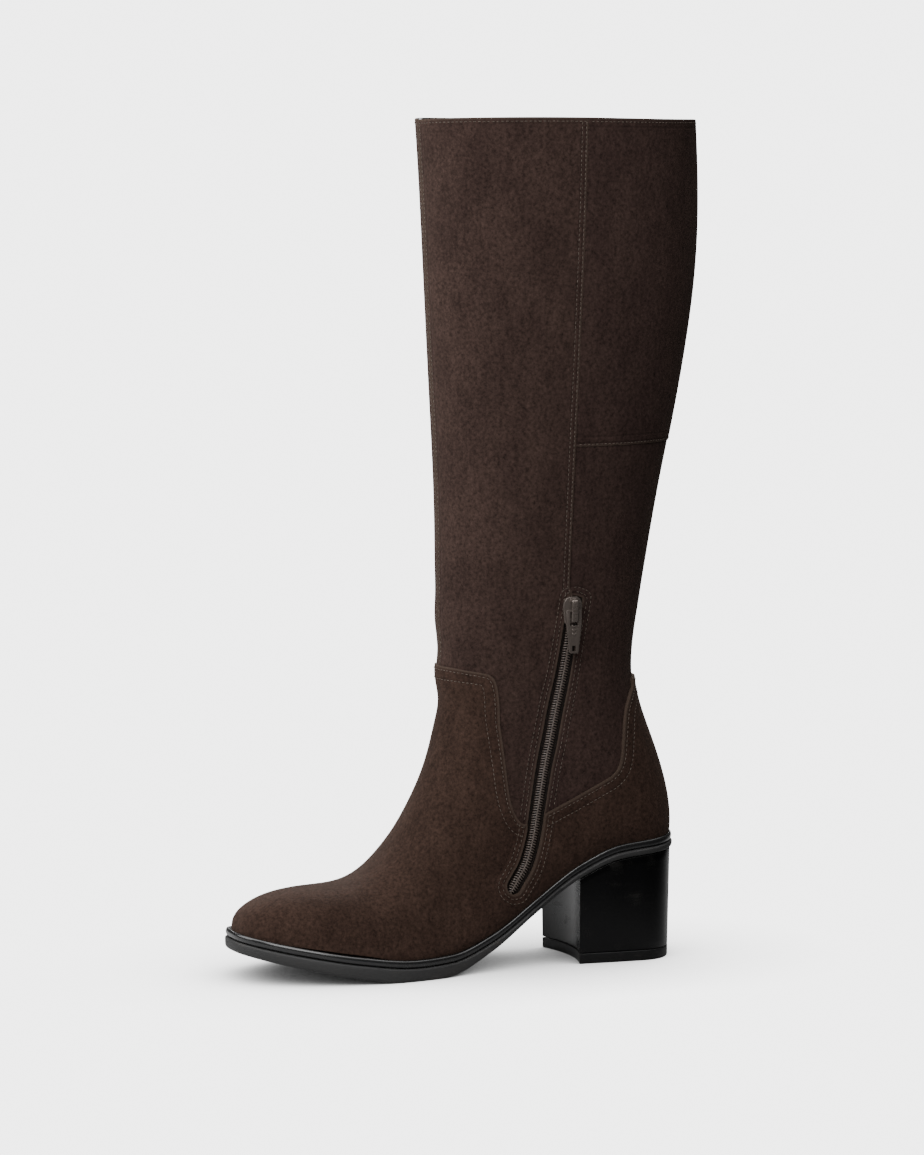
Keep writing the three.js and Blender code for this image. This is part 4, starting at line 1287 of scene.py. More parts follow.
@dataclass
class Lines:
    """Every cut line of the upper, in side view, as closed regions and fields over the form.

    A field gives millimetres, negative on the side that its name leaves out.
    """

    opening: float = 8.6
    opening_point: float = 0.86
    tip: float = 0.35
    tip_points: float = 5.0
    groove: float = 0.6
    back_seam: float = 277.0
    zip_top: float = 190.0

    def __post_init__(self) -> None:
        """Works the lines out from the tables."""
        depth = LAST.collar_depth
        below = [(290, 100), (290, -60), (-60, -60)]
        self.foot = np.vstack([side_line(FOOT_EDGE, depth, 150), below])
        self.zip = side_line(ZIP_LINE, depth, 60)
        inner = np.vstack([side_line(SIDE_SEAM, depth, 30), self.zip])
        outer = side_line(np.vstack([SIDE_SEAM, OUTER_SEAM_FOOT]), depth, 60)
        self.inner_front, self.outer_front = (
            np.vstack([(line[0, 0], 520), line, (line[-1, 0], -80), (220, -80), (220, 520)])
            for line in (inner, outer)
        )
        self.slot = self.band()

    def band(self) -> Array:
        """Closed band of the opening's width along the zip, pointed above and tapered below."""
        line = np.vstack([self.zip, self.zip[-1] + unit(self.zip[-1] - self.zip[-2]) * 2 * GAP])
        top = self.zip[0] + (-0.4, self.opening_point)
        left_over = np.arange(len(line))[::-1]
        taper = np.clip(left_over / self.tip_points + self.tip, 0, 1)[:, None]
        left, right = (
            line + (shifted(line, way * self.opening / 2) - line) * taper for way in (1, -1)
        )
        return np.vstack([top, left, right[::-1]])

    def side(self, u: Array, around: Array) -> tuple[Array, Array]:
        """Side view of the form's points, and whether they lie on the inner side."""
        at = LAST.point(u, around)
        return np.stack([-at[..., 1], at[..., 2]], -1), np.mod(around, TURN) <= math.pi

    def below_feather(self, u: Array, around: Array) -> Array:
        """How far a point lies below the welt's top."""
        return -LAST.above_feather(u, around) - 0.2

    def above_foot(self, u: Array, around: Array) -> Array:
        """Distance past the foot piece's upper edge."""
        return inside_distance(self.side(u, around)[0], self.foot)

    def in_slot(self, u: Array, around: Array) -> Array:
        """Distance into the zip's opening, on the inner side alone."""
        side, inner = self.side(u, around)
        return np.where(inner, -inside_distance(side, self.slot), -FAR)

    def beside_zip(self, u: Array, around: Array) -> Array:
        """Distance below the zip's top on the inner side, where the zip takes the seam's place."""
        side, inner = self.side(u, around)
        return np.where(inner, self.zip_top - side[..., 1], -1.0)

    def behind_seam(self, u: Array, around: Array) -> Array:
        """Distance behind the side seams."""
        side, inner = self.side(u, around)
        fronts = (self.inner_front, self.outer_front)
        return np.where(inner, *(inside_distance(side, front) for front in fronts))

    def past_centre(self, u: Array, around: Array) -> Array:
        """Distance past the front seam's groove from the inner side."""
        return self.groove / 2 - LAST.point(u, around)[..., 0]

    def in_groove(self, u: Array, around: Array) -> Array:
        """Distance into the front seam's groove."""
        off = np.abs(self.past_centre(u, around) - self.groove / 2)
        return self.groove / 2 - off

    def from_centre(self, u: Array, around: Array) -> Array:
        """Distance from the front seam, on the front of the leg alone."""
        return np.where(np.cos(around) > 0.3, np.abs(LAST.point(u, around)[..., 0]), FAR)

    def below_cross(self, u: Array, around: Array) -> Array:
        """Distance below the cross seam at the back."""
        return self.back_seam - LAST.point(u, around)[..., 2]

    def past_collar(self, u: Array, around: Array) -> Array:
        """Distance above the collar's plane."""
        at = LAST.point(u, around)
        k = LAST.section(np.array([LAST.top]))[0]
        slope = (k[1] - k[3]) / (k[0] - k[2])
        return at[..., 2] - (k[3] + slope * (-at[..., 1] - k[2]))


@dataclass
class Upper:
    """Lining and suede panels of the upper."""

    surface: Surface
    coarse: Surface
    lines: Lines
    shift: Array
    lap: float = 2.5
    foot_leather: float = 2.6
    front_leather: float = 1.7
    back_upper_leather: float = 1.4
    back_lower_leather: float = 0.9
    lining_leather: float = 1.4
    lining_under: float = -1.45
    rounding: float = 0.45
    rounding_share: float = 0.4

    def panel(
        self, name: str, surface: Surface, cut: Field, edge: Field, leather: float, low: float = GAP
    ) -> Thing:
        """A panel of leather, its rim rounded, with its distance to the sewn edges as rim.

        Args:
            name: the piece's name.
            surface: the grid to cut it from.
            cut: field that is negative on the panel.
            edge: field whose zero line is the panel's sewn edge.
            leather: its thickness.
            low: height of its underside above the form.

        Returns:
            The panel.
        """
        patch = surface.cut(cut)
        points = LAST.surface(patch.u, patch.around, low + leather)
        rim = np.clip(-edge(patch.u, patch.around), 0, RIM_LIMIT)
        thing = Piece(name, points, patch.faces, {"rim": rim}).build(self.shift, closed=False)
        middle = thing.data.polygons[len(patch.faces) // 2]
        k = patch.faces[middle.index][0]
        out = LAST.normal(patch.u[k : k + 1], patch.around[k : k + 1])[0]
        if middle.normal.dot(Vector(out.tolist())) < 0:
            thing.data.flip_normals()
        solid = thing.modifiers.new("leather", "SOLIDIFY")
        solid.thickness, solid.offset, solid.use_even_offset = leather * MM, -1, True
        rounded(thing, min(self.rounding, leather * self.rounding_share), 2, 50.0)
        return thing

    def build(self, palette: Palette, looks: Looks) -> None:
        """Builds and dresses the five panels and the lining.

        Args:
            palette: the finishes.
            looks: their materials by name.
        """
        lines, slot, collar = self.lines, self.lines.in_slot, self.lines.past_collar
        over_foot = moved(lines.above_foot, -self.lap, -1)
        front = meet(moved(lines.behind_seam, GAP / 2), over_foot, slot)
        front_inner = meet(front, lines.past_centre)
        front_outer = meet(front, moved(lines.past_centre, lines.groove, -1))
        front_edge = meet(lines.behind_seam, slot, collar, lines.in_groove)
        back = meet(moved(lines.behind_seam, -self.lap, -1), over_foot, slot)
        back_upper = meet(back, lines.below_cross)
        back_lower = meet(back, moved(lines.below_cross, -self.lap, -1))
        foot_edge = meet(lines.above_foot, slot)
        foot = meet(foot_edge, lines.below_feather)
        upper_edge = meet(lines.below_cross, collar)
        front_cut, upper_cut = self.front_leather, self.back_upper_leather
        plan = (
            ("foot_suede", foot, foot_edge, self.foot_leather, "foot_overlay"),
            ("front_suede_inner", front_inner, front_edge, front_cut, "shaft_front_medial"),
            ("front_suede_outer", front_outer, front_edge, front_cut, "shaft_front_lateral"),
            ("back_suede_upper", back_upper, upper_edge, upper_cut, "shaft_back_upper"),
            ("back_suede_lower", back_lower, slot, self.back_lower_leather, "shaft_back_lower"),
        )
        finishes = (palette.foot, palette.front, palette.front, palette.back, palette.back)
        for (name, cut, edge, leather, node), finish in zip(plan, finishes):
            dress(self.panel(name, self.surface, cut, edge, leather), finish, looks, node)
        cut = meet(lines.below_feather, moved(collar, GAP))
        inside = (self.lining_leather, self.lining_under)
        lining = self.panel("lining", self.coarse, cut, collar, *inside)
        dress(lining, palette.lining, looks, "upper")


@dataclass
class Stitching:
    """Rows of thread, each stitch a short low arch of thread sunk at both ends."""

    surface: Surface
    lines: Lines
    shift: Array
    pitch: float = 2.4
    length: float = 1.75
    thick: float = 0.21
    sides: int = 5
    rise: float = 0.16
    arch: float = 0.26

    def template(self) -> Array:
        """One stitch of rings along, across and up; it sinks with the square of the way out.

        Returns:
            Points ring by ring.
        """
        ring = np.linspace(-1, 1, 5)[:, None]
        turn = (np.arange(self.sides) * TURN / self.sides)[None, :]
        radius = self.thick * np.sqrt(np.clip(1.08 - ring**2, 0.05, 1))
        along = ring * self.length / 2 + 0 * turn
        up = self.rise - self.arch * ring**2 + radius * np.sin(turn)
        return np.stack([along, radius * np.cos(turn), up], -1).reshape(-1, 3)

    def row(self, chains: list[Array]) -> tuple[Array, Array]:
        """Middles of the stitches along chains, and their directions along, across and out.

        Args:
            chains: lines of points and normals.

        Returns:
            A point and three directions for each stitch.
        """
        middles, frames = [np.zeros((0, 3))], [np.zeros((0, 3, 3))]
        for chain in chains:
            run = np.linalg.norm(np.diff(chain[:, :3], axis=0), axis=1).sum()
            count = int(run / self.pitch)
            if count < 2:
                continue
            line = evenly(chain, 2 * count + 1)
            along, out = unit(line[2::2, :3] - line[:-1:2, :3]), unit(line[1::2, 3:])
            frames.append(np.stack([along, unit(np.cross(out, along)), out], 1))
            middles.append(line[1::2, :3])
        return np.concatenate(middles), np.concatenate(frames)

    def build(self, palette: Palette, looks: Looks, upper: Upper) -> None:
        """Builds every row of the upper, given as field, level, where it is sewn, and height.

        Args:
            palette: the finishes.
            looks: their materials by name.
            upper: the panels, for their thickness.
        """
        lines, slot, seam = self.lines, self.lines.in_slot, self.lines.behind_seam
        off_foot, off_seam = moved(lines.above_foot, 1.2, -1), moved(seam, 0.6, -1)
        off_slot, off_collar = moved(slot, 1.0), moved(lines.past_collar, 1.0)
        on_foot = meet(lines.above_foot, moved(lines.below_feather, 2.0), off_slot)
        on_front = meet(seam, off_foot, off_slot, off_collar)
        on_back = meet(off_seam, off_foot, off_slot, off_collar)
        on_upper = meet(on_back, lines.below_cross)
        on_lower = meet(on_back, moved(lines.below_cross, 0.0, -1))
        on_seam = meet(on_front, lines.beside_zip)
        leathers = (upper.foot_leather, upper.front_leather)
        leathers += (upper.back_upper_leather, upper.back_lower_leather)
        foot, front, high, low = (GAP + leather for leather in leathers)
        rows = {
            "foot_stitches": (
                (lines.above_foot, -1.9, on_foot, foot),
                (lines.above_foot, -6.4, on_foot, foot),
                (slot, -2.2, on_foot, foot),
                (slot, -4.6, on_foot, foot),
            ),
            "front_stitches": (
                (seam, -1.3, on_seam, front),
                (seam, -3.6, on_seam, front),
                (lines.from_centre, 1.9, on_front, front),
                (slot, -2.2, on_front, front),
                (slot, -4.6, on_front, front),
                (lines.past_collar, -2.1, meet(seam, moved(lines.from_centre, 0.8, -1)), front),
            ),
            "back_stitches": (
                (lines.below_cross, -1.3, on_upper, high),
                (slot, -2.2, on_lower, low),
                (slot, -4.6, on_lower, low),
                (lines.past_collar, -2.1, off_seam, high),
            ),
        }
        for name, plan in rows.items():
            sewn = [self.row(self.surface.rows_at(*row)) for row in plan]
            at, frames = (np.concatenate(part) for part in zip(*sewn))
            thing = wires(name, self.template(), self.sides, at, frames, self.shift)
            dress(thing, palette.thread, looks)


@dataclass
class Bottom:
    """Welt, outsole, heel block and heel lift, all on the feather outline."""

    shift: Array
    count: int = 400
    welt_thickness: float = 4.0
    welt_inner: float = 6.5
    welt_round: float = 1.5
    welt_steps: int = 8
    leather: float = 2.6
    sole_past: float = 0.4
    breast: float = 60.0
    hollow: float = 5.0
    inset: float = 0.8
    taper: float = 1.2
    lift: float = 5.6
    half: float = 29.0
    heel_round: float = 0.55
    sole_rows: tuple = ((7.4, 0.0), (1.5, 0.0), (0.75, 0.2), (0.3, 0.7), (0.05, 1.5), (0.0, 2.2))
    groove_rows: tuple = ((0.0, -1.1), (0.25, -0.6), (0.9, -0.15), (1.8, 0.0))

    def __post_init__(self) -> None:
        """Keeps the outline, its outward direction in plan and the welt's reach along it."""
        self.ring = LAST.outline(self.count)
        along = unit(np.roll(self.ring, -1, 0) - np.roll(self.ring, 1, 0))
        self.out = np.stack([along[:, 1], -along[:, 0]], 1)
        if ((self.out * (self.ring - self.ring.mean(0))).sum(1)).mean() < 0:
            self.out = -self.out
        self.reach = GAP + self.leather + LAST.held_row(3, self.ring[:, 1])

    def top(self, s: Array) -> Array:
        """Height of the welt's top."""
        return LAST.feather(s) - GAP

    def over(self, s: Array) -> Array:
        """Height of the outsole's top, under the welt."""
        return self.top(s) - self.welt_thickness - GAP

    def under(self, s: Array) -> Array:
        """Underside of the outsole, flat on the floor under the ball."""
        return np.maximum(0, LAST.feather(s) - LAST.held_row(4, s))

    def band(self, margin: Array, height: Callable[[Array], Array], rise: float = 0.0) -> Array:
        """The outline moved out by a margin, at a height that follows s, plus a rise."""
        plan = self.ring + self.out * np.broadcast_to(margin, len(self.ring))[:, None]
        return np.stack([plan[:, 0], -plan[:, 1], height(plan[:, 1]) + rise], 1)

    def welt_piece(self) -> Thing:
        """Rounded band: its outer side is half a circle squashed to the welt's thickness."""
        bands = [self.band(-self.welt_inner, self.top)]
        for turn in np.arange(self.welt_steps + 1) * math.pi / self.welt_steps:
            pull = self.welt_round * (1 - max(math.sin(turn), 0.0) ** 0.7)
            sink = self.welt_thickness * (1 - math.cos(turn)) / 2
            bands.append(self.band(self.reach - pull, self.top, -sink))
        bands.append(self.band(-self.welt_inner, self.top, -self.welt_thickness))
        faces = grid_faces(len(bands), self.count, loop=True).tolist()
        return Piece("welt_band", np.concatenate(bands), faces).build(self.shift)

    def outsole_piece(self) -> Thing:
        """Sole edge with its groove, its rounded lower arris and the pad inside the welt."""
        edge, pad = self.reach + self.sole_past, -self.welt_inner - GAP
        bands = [self.band(edge - pull, self.under, rise) for pull, rise in self.sole_rows]
        bands += [self.band(edge - pull, self.over, rise) for pull, rise in self.groove_rows]
        bands += [self.band(pad, self.over), self.band(pad, self.top)]
        faces = grid_faces(len(bands), self.count).tolist() + strip_cap(0, self.count)
        faces += strip_cap((len(bands) - 1) * self.count, self.count)
        return Piece("sole_edge", np.concatenate(bands), faces).build(self.shift)

    def breast_at(self, x: Array) -> Array:
        """The heel's front in plan: a parabola hollow by the breast's depth."""
        return self.breast - self.hollow * (1 - (x / self.half) ** 2)

    def heel_ring(self, pull: float, steps: int = 160, front: int = 48) -> Array:
        """Closed plan ring of the heel: the outline behind the breast, then the breast line.

        Args:
            pull: millimetres in from the welt's edge.
            steps: points behind the breast.
            front: spans along the breast.

        Returns:
            x and s of each point.
        """
        plan = np.roll(self.ring + self.out * (self.reach - pull)[:, None], self.count // 2, 0)
        behind = plan[:, 1] < self.breast_at(plan[:, 0])
        first, last = np.flatnonzero(behind)[[0, -1]]

        def corner(a: Array, b: Array) -> Array:
            """Where the line from a to b meets the breast, by the share of its distances off it."""
            off_a, off_b = a[1] - self.breast_at(a[0]), b[1] - self.breast_at(b[0])
            return a + (b - a) * off_a / (off_a - off_b)

        start, end = corner(plan[first - 1], plan[first]), corner(plan[last + 1], plan[last])
        around = evenly(np.vstack([start, plan[first : last + 1], end]), steps)
        x = np.linspace(end[0], start[0], front + 1)[1:-1]
        return np.vstack([around, np.stack([x, self.breast_at(x)], 1)])

    def heel_piece(self, name: str, low: float, high: Optional[float], levels: int) -> Thing:
        """Block of rings that draw in towards the floor.

        Args:
            name: the piece's name.
            low: height of its underside.
            high: height of its top, or None where it goes up to the outsole.
            levels: number of rings.

        Returns:
            The block.
        """
        bands = []
        for share in np.linspace(0, 1, levels):
            z = low + share * ((LAST.heel_rise if high is None else high) - low)
            plan = self.heel_ring(self.inset + self.taper * (1 - z / LAST.heel_rise))
            limit = self.under(plan[:, 1]) - GAP if high is None else np.full(len(plan), high)
            bands.append(np.column_stack([plan[:, 0], -plan[:, 1], low + share * (limit - low)]))
        faces = bar_faces(levels, len(bands[0]))
        thing = Piece(name, np.concatenate(bands), faces).build(self.shift)
        rounded(thing, self.heel_round, 3, 50.0)
        return thing

    def build(self, palette: Palette, looks: Looks) -> None:
        """Builds and dresses the four pieces.

        Args:
            palette: the finishes.
            looks: their materials by name.
        """
        dress(self.welt_piece(), palette.welt, looks, "welt")
        dress(self.outsole_piece(), palette.edge, looks, "outsole")
        heel = self.heel_piece("heel_cover", self.lift + GAP, None, 12)
        dress(heel, palette.heel, looks, "heel_block")
        lift = self.heel_piece("top_lift", 0.0, self.lift, 3)
        dress(lift, palette.lift, looks, "heel_lift")


@dataclass
class Zip:
    """Tape, coil, slider and pull of the inside zip."""

    lines: Lines
    shift: Array
    steps: int = 160
    tape_half: tuple[float, ...] = (5.0, 4.0, 3.6, 3.2, 2.4, 0.0)
    tape_rise: tuple[float, ...] = (0.7, 0.7, 1.05, 0.75, 0.7, 0.7)
    tape_under: float = 0.35
    coil_width: float = 5.6
    coil_height: float = 1.95
    coil_tip: float = 9.0
    pitch: float = 1.35
    wire: float = 0.36
    overlap: float = 0.45
    lean: float = 0.62
    bow: float = 0.12
    turn_down: float = 0.75
    turn_from: float = 0.72
    head: float = 0.35
    head_reach: float = 0.22
    sides: int = 6
    core_inset: float = 0.55
    core_height: float = 1.25
    core_half: float = 0.5
    core_sides: int = 12
    chevrons: int = 3
    chevron_drop: float = 9.6
    chevron_pitch: float = 2.1
    chevron_half: float = 1.45
    chevron_narrower: float = 0.15
    chevron_tall: float = 1.25
    chevron_bar: float = 0.55
    chevron_sunk: float = 0.12
    chevron_proud: float = 0.28
    slider_round: float = 0.3
    pull_round: float = 0.22

    def frames(self, height: float, count: int) -> tuple[Array, Array, Array, Array]:
        """Points along the zip at a height, with directions along, across and out.

        Args:
            height: millimetres above the form.
            count: number of points.

        Returns:
            The points and the three directions.
        """
        u, around = LAST.inner_station(*evenly(self.lines.zip, count).T)
        at = LAST.surface(u, around, height)
        along = unit(np.gradient(at, axis=0))
        across = unit(np.cross(LAST.normal(u, around), along))
        return at, along, across, np.cross(along, across)

    def carried(self, name: str, wide: Array, high: Array, uv: Array) -> Thing:
        """A closed profile carried along the zip, with a face over each end.

        Args:
            name: the piece's name.
            wide: each profile point's millimetres across the zip.
            high: its millimetres above the form.
            uv: U and V of every point, row by row.

        Returns:
            The piece.
        """
        at, _, across, out = self.frames(0.0, self.steps)
        points = at[:, None] + across[:, None] * wide[:, None] + out[:, None] * high[:, None]
        faces = bar_faces(self.steps, len(wide))
        return Piece(name, points.reshape(-1, 3), faces, {}, uv).build(self.shift)

    def tape_piece(self) -> Thing:
        """Woven strip under the coil, with a corded edge on both sides of the chain."""
        half, rise = np.array(self.tape_half), np.array(self.tape_rise)
        wide, high = np.append(-half, half[-2::-1]), np.append(rise, rise[-2::-1])
        under = np.full(len(high), self.tape_under)
        wide, high = np.append(wide, wide[::-1]), np.append(high, under)
        u, v = np.meshgrid(np.linspace(0, 1, len(wide)), np.linspace(0, 1, self.steps))
        return self.carried("zip_tape_cloth", wide, high, np.stack([u.ravel(), v.ravel()], 1))

    def core_piece(self) -> Thing:
        """Dark cord that runs inside the coil, a low ridge under the loops."""
        share = np.arange(self.core_sides) / self.core_sides
        wide = (self.coil_width / 2 - self.core_inset) * np.cos(share * TURN)
        high = self.core_height + self.core_half * np.sin(share * TURN)
        uv = np.tile(np.stack([share, share], 1), (self.steps, 1))
        return self.carried("zip_core", wide, high, uv)

    def tooth(self) -> Array:
        """One loop of coil: a wire thick at the middle of the zip and turned down at its side.

        Returns:
            Points ring by ring.
        """
        t = np.linspace(0, 1, self.sides)[:, None]
        turn = (np.arange(self.sides) * TURN / self.sides)[None, :]
        across = -self.overlap + (self.coil_width / 2 + self.overlap - GAP) * t
        outside = np.clip(t - self.turn_from, 0, 1) / (1 - self.turn_from)
        up = self.bow * np.sin(math.pi * t) - self.turn_down * outside
        swell = self.wire * (1 + self.head * np.exp(-((t / self.head_reach) ** 2)))
        along = self.lean * t + swell * np.cos(turn)
        rings = [along, across + 0 * turn, up + swell * np.sin(turn)]
        return np.stack(rings, -1).reshape(-1, 3)

    def coil_piece(self) -> Thing:
        """Both rows of the coil as one joined mesh, the left row half a pitch on from the right."""
        length = np.linalg.norm(np.diff(self.lines.zip, axis=0), axis=1).sum()
        at, along, across, out = self.frames(self.coil_height, 2 * int(length / self.pitch) + 1)
        left_over = np.arange(len(at), 0, -1)[:, None]
        across = across * np.clip(left_over / self.coil_tip + self.lines.tip, 0, 1)
        right, left = (np.stack([along, across * way, out], 1) for way in (1, -1))
        places = np.concatenate([at[::2], at[1::2]])
        frames = np.concatenate([right[::2], left[1::2]])
        return wires("zip_coil", self.tooth(), self.sides, places, frames, self.shift)

    def smoothed(self, node: Thing, name: str, width: float) -> Thing:
        """A copy of a metal node with its points merged and its arrises rounded.

        Args:
            node: the CAD node.
            name: the new piece's name.
            width: of the rounding, in millimetres.

        Returns:
            The piece.
        """
        mesh = node.data.copy()
        work = bmesh.new()
        work.from_mesh(mesh)
        bmesh.ops.remove_doubles(work, verts=work.verts, dist=0.01 * MM)
        level = math.radians(1)
        bmesh.ops.dissolve_limit(work, angle_limit=level, verts=work.verts, edges=work.edges)
        work.to_mesh(mesh)
        work.free()
        mesh.name = name
        mesh.polygons.foreach_set("use_smooth", np.ones(len(mesh.polygons), bool))
        thing = bpy.data.objects.new(name, mesh)
        bpy.context.scene.collection.objects.link(thing)
        rounded(thing, width, 3, 35.0)
        return thing

    def chevron_piece(self) -> Thing:
        """Raised V marks down the face of the pull, each a little narrower than the one above."""
        low, high = (np.array(c) / MM - self.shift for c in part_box("zip_pull"))
        y, face = (low[1] + high[1]) / 2, high[0]
        tall, bar, size = self.chevron_tall, self.chevron_bar, 6
        ring = np.arange(size)
        following = (ring + 1) % size
        sides = np.stack([ring, following, size + following, size + ring], 1)
        caps = np.array([[0, 1, 4, 5], [1, 2, 3, 4]])
        faces = np.vstack([sides, caps, size + caps[:, ::-1]])
        points = []
        for k in range(self.chevrons):
            wide = self.chevron_half - self.chevron_narrower * k
            z = high[2] - self.chevron_drop - self.chevron_pitch * k
            lower = np.array([(-wide, tall), (0, 0), (wide, tall)])
            outer = np.vstack([lower, lower[::-1] + (0, bar)])
            inner = outer * (0.86, 0.9) + (0, 0.07)
            for rise, corners in ((-self.chevron_sunk, outer), (self.chevron_proud, inner)):
                points.append(np.column_stack([np.full(size, face + rise), corners + (y, z)]))
        every = faces[None] + (np.arange(self.chevrons) * 2 * size)[:, None, None]
        made = Piece("pull_marks", np.concatenate(points), every.reshape(-1, 4).tolist())
        return made.build(self.shift)

    def build(self, palette: Palette, looks: Looks, nodes: dict[str, Thing]) -> None:
        """Builds and dresses the zip.

        Args:
            palette: the finishes.
            looks: their materials by name.
            nodes: the CAD nodes by name.
        """
        dress(self.tape_piece(), palette.tape, looks, "zip_tape")
        dress(self.coil_piece(), palette.coil, looks, "zip_chain")
        dress(self.core_piece(), palette.tape, looks)
        slider = self.smoothed(nodes["zip_slider"], "slider", self.slider_round)
        dress(slider, palette.metal, looks, "zip_slider")
        pull = self.smoothed(nodes["zip_pull"], "pull", self.pull_round)
        dress(pull, palette.metal, looks, "zip_pull", body=Body.PULL)
        dress(self.chevron_piece(), palette.metal, looks, body=Body.PULL)


@dataclass
class Studio:
    """Camera, soft light and a pale floor."""

    azimuth: float = 68.0
    distance: float = 3000.0
    back: float = 2.5
    height: float = 534.9
    focal_pixels: float = 5634.0
    frame_pixels: float = 1155.0
    frame_width: float = 924.0
    aim_left: float = 671.4
    horizon: float = -49.1
    floor_tone: float = 0.8
    floor_half: float = 60.0
    # Painted shade of the floor for all rays but the camera's: its ramp in metres along kept_off.
    shade: tuple[float, float] = (-0.05, 0.35)
    backdrop: float = 4.35
    # Painted contact shadow in the floor's glow: the reach of the open-sky test, and its power.
    contact: float = 0.1
    contact_depth: float = 1.5
    # Side of the floor's painted shade, and how much of the floor's tone it takes away there.
    kept_off: tuple[float, float, float] = (0.8, 0.6, 0.0)
    kept_share: float = 0.93
    overhead: float = 3.0
    overhead_rise: tuple[float, float] = (0.55, 0.95)
    fill: float = 0.07
    box_size: float = 0.7
    box_aim: float = 0.2
    sensor: float = 36.0
    clip_end: float = 200.0
    soft_boxes: tuple[tuple[float, float, float, float], ...] = (
        (340.0, 0.8, 0.6, 4.9),
        (60.0, 0.8, 0.75, 6.5),
        (250.0, 1.3, 0.8, 9.0),
    )

    def camera(self, shift: Array) -> None:
        """Sets the camera at the photograph's place and pitch.

        The heel's back falls at aim_left in the frame and the horizon at its own row, so yaw and
        pitch are the angles whose tangents are those offsets over the focal length.

        Args:
            shift: millimetres from the form's own place to the frame's.
        """
        a = math.radians(self.azimuth)
        ahead = self.back - math.cos(a) * self.distance
        place = np.array([math.sin(a) * self.distance, ahead, self.height]) + shift * (1, 1, 0)
        turn = a + math.atan((self.aim_left - self.frame_width / 2) / self.focal_pixels)
        pitch = math.atan((self.frame_pixels / 2 - self.horizon) / self.focal_pixels)
        level = math.cos(pitch)
        look = Vector((-math.sin(turn) * level, math.cos(turn) * level, -math.sin(pitch)))
        data = bpy.data.cameras.new("camera")
        data.sensor_fit = "VERTICAL"
        data.sensor_height, data.clip_end = self.sensor, self.clip_end
        data.lens = self.focal_pixels / self.frame_pixels * self.sensor
        camera = bpy.data.objects.new("camera", data)
        camera.location = place * MM
        camera.rotation_euler = look.to_track_quat("-Z", "Y").to_euler()
        bpy.context.scene.collection.objects.link(camera)
        bpy.context.scene.camera = camera

    def floor(self) -> None:
        """A wide pale floor in three by three quads.

        To the camera it glows evenly, with a painted contact shadow near the boot by the share of
        open sky. To all other rays it is a matt tone, with painted shade on the side where the light
        is kept off.
        """
        ends = np.array([-self.floor_half, -1.0, 1.0, self.floor_half])
        x, y = np.meshgrid(ends, ends, indexing="ij")
        corners = np.stack([x.ravel(), y.ravel(), np.zeros(x.size)], 1)
        mesh = bpy.data.meshes.new("floor")
        mesh.from_pydata(corners.tolist(), [], grid_faces(4, 4, around=False)[:, ::-1].tolist())
        thing = bpy.data.objects.new("floor", mesh)
        bpy.context.scene.collection.objects.link(thing)
        material = bpy.data.materials.new("pale floor")
        material.use_nodes = True
        bsdf = material.node_tree.nodes["Principled BSDF"]
        bsdf.inputs["Roughness"].default_value = 0.9
        bsdf.inputs["Specular IOR Level"].default_value = 0.0
        bsdf.inputs["Emission Color"].default_value = (1.0, 1.0, 1.0, 1.0)
        n = Nodes(material.node_tree)
        # Painted shade: to all rays but the camera's, the floor's tone falls on the side where light
        # is kept off.
        side = {0: n.where(), 1: self.kept_off}
        off = n.add("VectorMath", side, operation="DOT_PRODUCT").outputs["Value"]
        dim = n.math("MULTIPLY_ADD", n.ramp(off, *self.shade), -self.kept_share, 1.0)
        tone = n.math("MULTIPLY", dim, self.floor_tone)
        seen = n.add("LightPath").outputs["Is Camera Ray"]
        level = n.math("MULTIPLY", tone, n.math("SUBTRACT", 1.0, seen))
        # Painted contact shadow: the glow that the camera sees is darkened by the share of open sky
        # near the boot.
        sky = n.add("AmbientOcclusion", {"Distance": self.contact}, samples=16).outputs["AO"]
        shaded = n.math("MULTIPLY", n.math("POWER", sky, self.contact_depth), self.backdrop)
        glow = n.math("MULTIPLY", shaded, seen)
        n.send(bsdf, {"Base Color": n.grey(level), "Emission Strength": glow})
        mesh.materials.append(material)

    def soft_box(self, azimuth: float, away: float, height: float, power: float) -> None:
        """A square light aimed at the middle of the boot, itself unseen by the camera.

        Args:
            azimuth: degrees from the toe's direction towards the inner side.
            away: metres from the boot in plan.
            height: metres from the floor.
            power: watts.
        """
        a = math.radians(azimuth)
        place = Vector((math.sin(a) * away, -math.cos(a) * away, height))
        data = bpy.data.lights.new("soft box", "AREA")
        data.size, data.energy = self.box_size, power
        light = bpy.data.objects.new("soft box", data)
        light.location = place
        aim = Vector((0, 0, self.box_aim)) - place
        light.rotation_euler = aim.to_track_quat("-Z", "Y").to_euler()
        light.visible_camera = False
        bpy.context.scene.collection.objects.link(light)

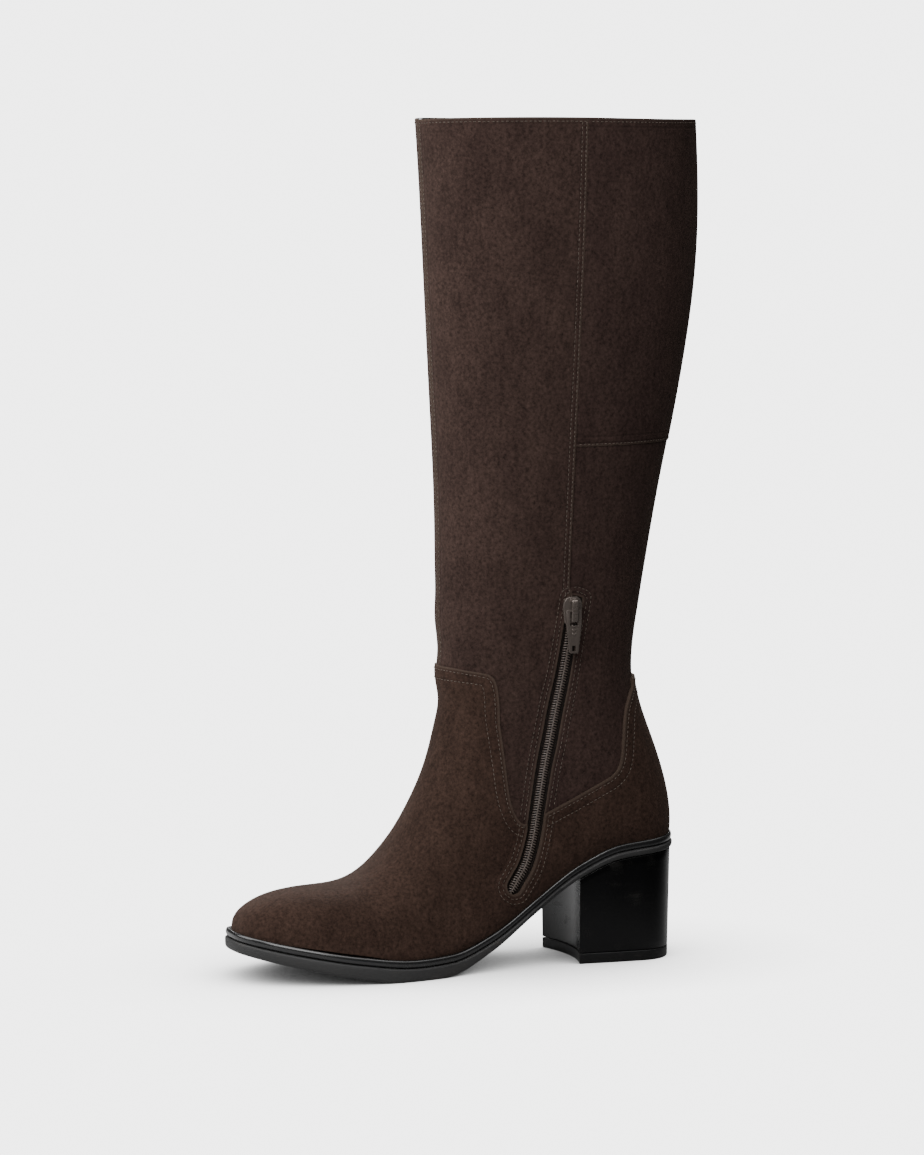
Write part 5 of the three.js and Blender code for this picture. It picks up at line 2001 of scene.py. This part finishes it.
    def light(self) -> None:
        """Soft boxes round the boot, a faint even light, and a pale backdrop for the camera."""
        for box in self.soft_boxes:
            self.soft_box(*box)
        world = bpy.data.worlds.new("studio")
        bpy.context.scene.world = world
        world.use_nodes = True
        n = Nodes(world.node_tree)
        rays = n.add("LightPath").outputs
        up = n.add("SeparateXYZ", {0: n.add("TexCoord").outputs["Generated"]}).outputs[2]
        overhead = n.math("MULTIPLY", rays["Is Glossy Ray"], self.overhead)
        overhead = n.math("MULTIPLY", n.ramp(up, *self.overhead_rise), overhead)
        lit = {0: rays["Is Camera Ray"], 2: n.math("ADD", overhead, self.fill), 3: self.backdrop}
        strength = n.add("Mix", lit, data_type="FLOAT").outputs[0]
        background = world.node_tree.nodes["Background"]
        background.inputs["Color"].default_value = (1.0, 1.0, 1.0, 1.0)
        n.send(background, {"Strength": strength})

    def build(self, shift: Array) -> None:
        """Builds camera, floor and light."""
        self.camera(shift)
        self.floor()
        self.light()


def frame_shift() -> Array:
    """Millimetres from the form's own place to the frame's, by the middles of the upper's boxes.

    Returns:
        The shift in x, y and z.
    """
    u = np.linspace(0, LAST.top, 900)[:, None]
    at = LAST.point(u, np.linspace(0, TURN, 181)[None, :])
    above = at[..., 2] > LAST.feather(-at[..., 1])
    own = (at[above].min(0) + at[above].max(0)) / 2
    low, high = (np.array(corner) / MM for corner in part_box("upper"))
    return np.array([*((low + high) / 2 - own)[:2], 0.0])


def main() -> None:
    """Loads the frame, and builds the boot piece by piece."""
    logging.basicConfig(level=logging.INFO, format="%(name)s: %(message)s")
    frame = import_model()
    shift = frame_shift()
    LOG.info("shift %s", np.round(shift, 2))
    effects = Effects()
    palette = Palette()
    finishes = [getattr(palette, name) for name in palette.__dataclass_fields__]
    looks = {finish.name: finish.material(effects) for finish in finishes}
    Studio().build(shift)
    coarse = Surface(3.0, 144)
    surface = Surface(2.0, 216)
    lines = Lines()
    upper = Upper(surface, coarse, lines, shift)
    upper.build(palette, looks)
    Stitching(surface, lines, shift).build(palette, looks, upper)
    Bottom(shift).build(palette, looks)
    Zip(lines, shift).build(palette, looks, frame["nodes"])
    insole = frame["nodes"]["insole"]
    for place in insole.material_slots:
        place.material = looks[palette.lining.name]


if __name__ == "__main__":
    main()
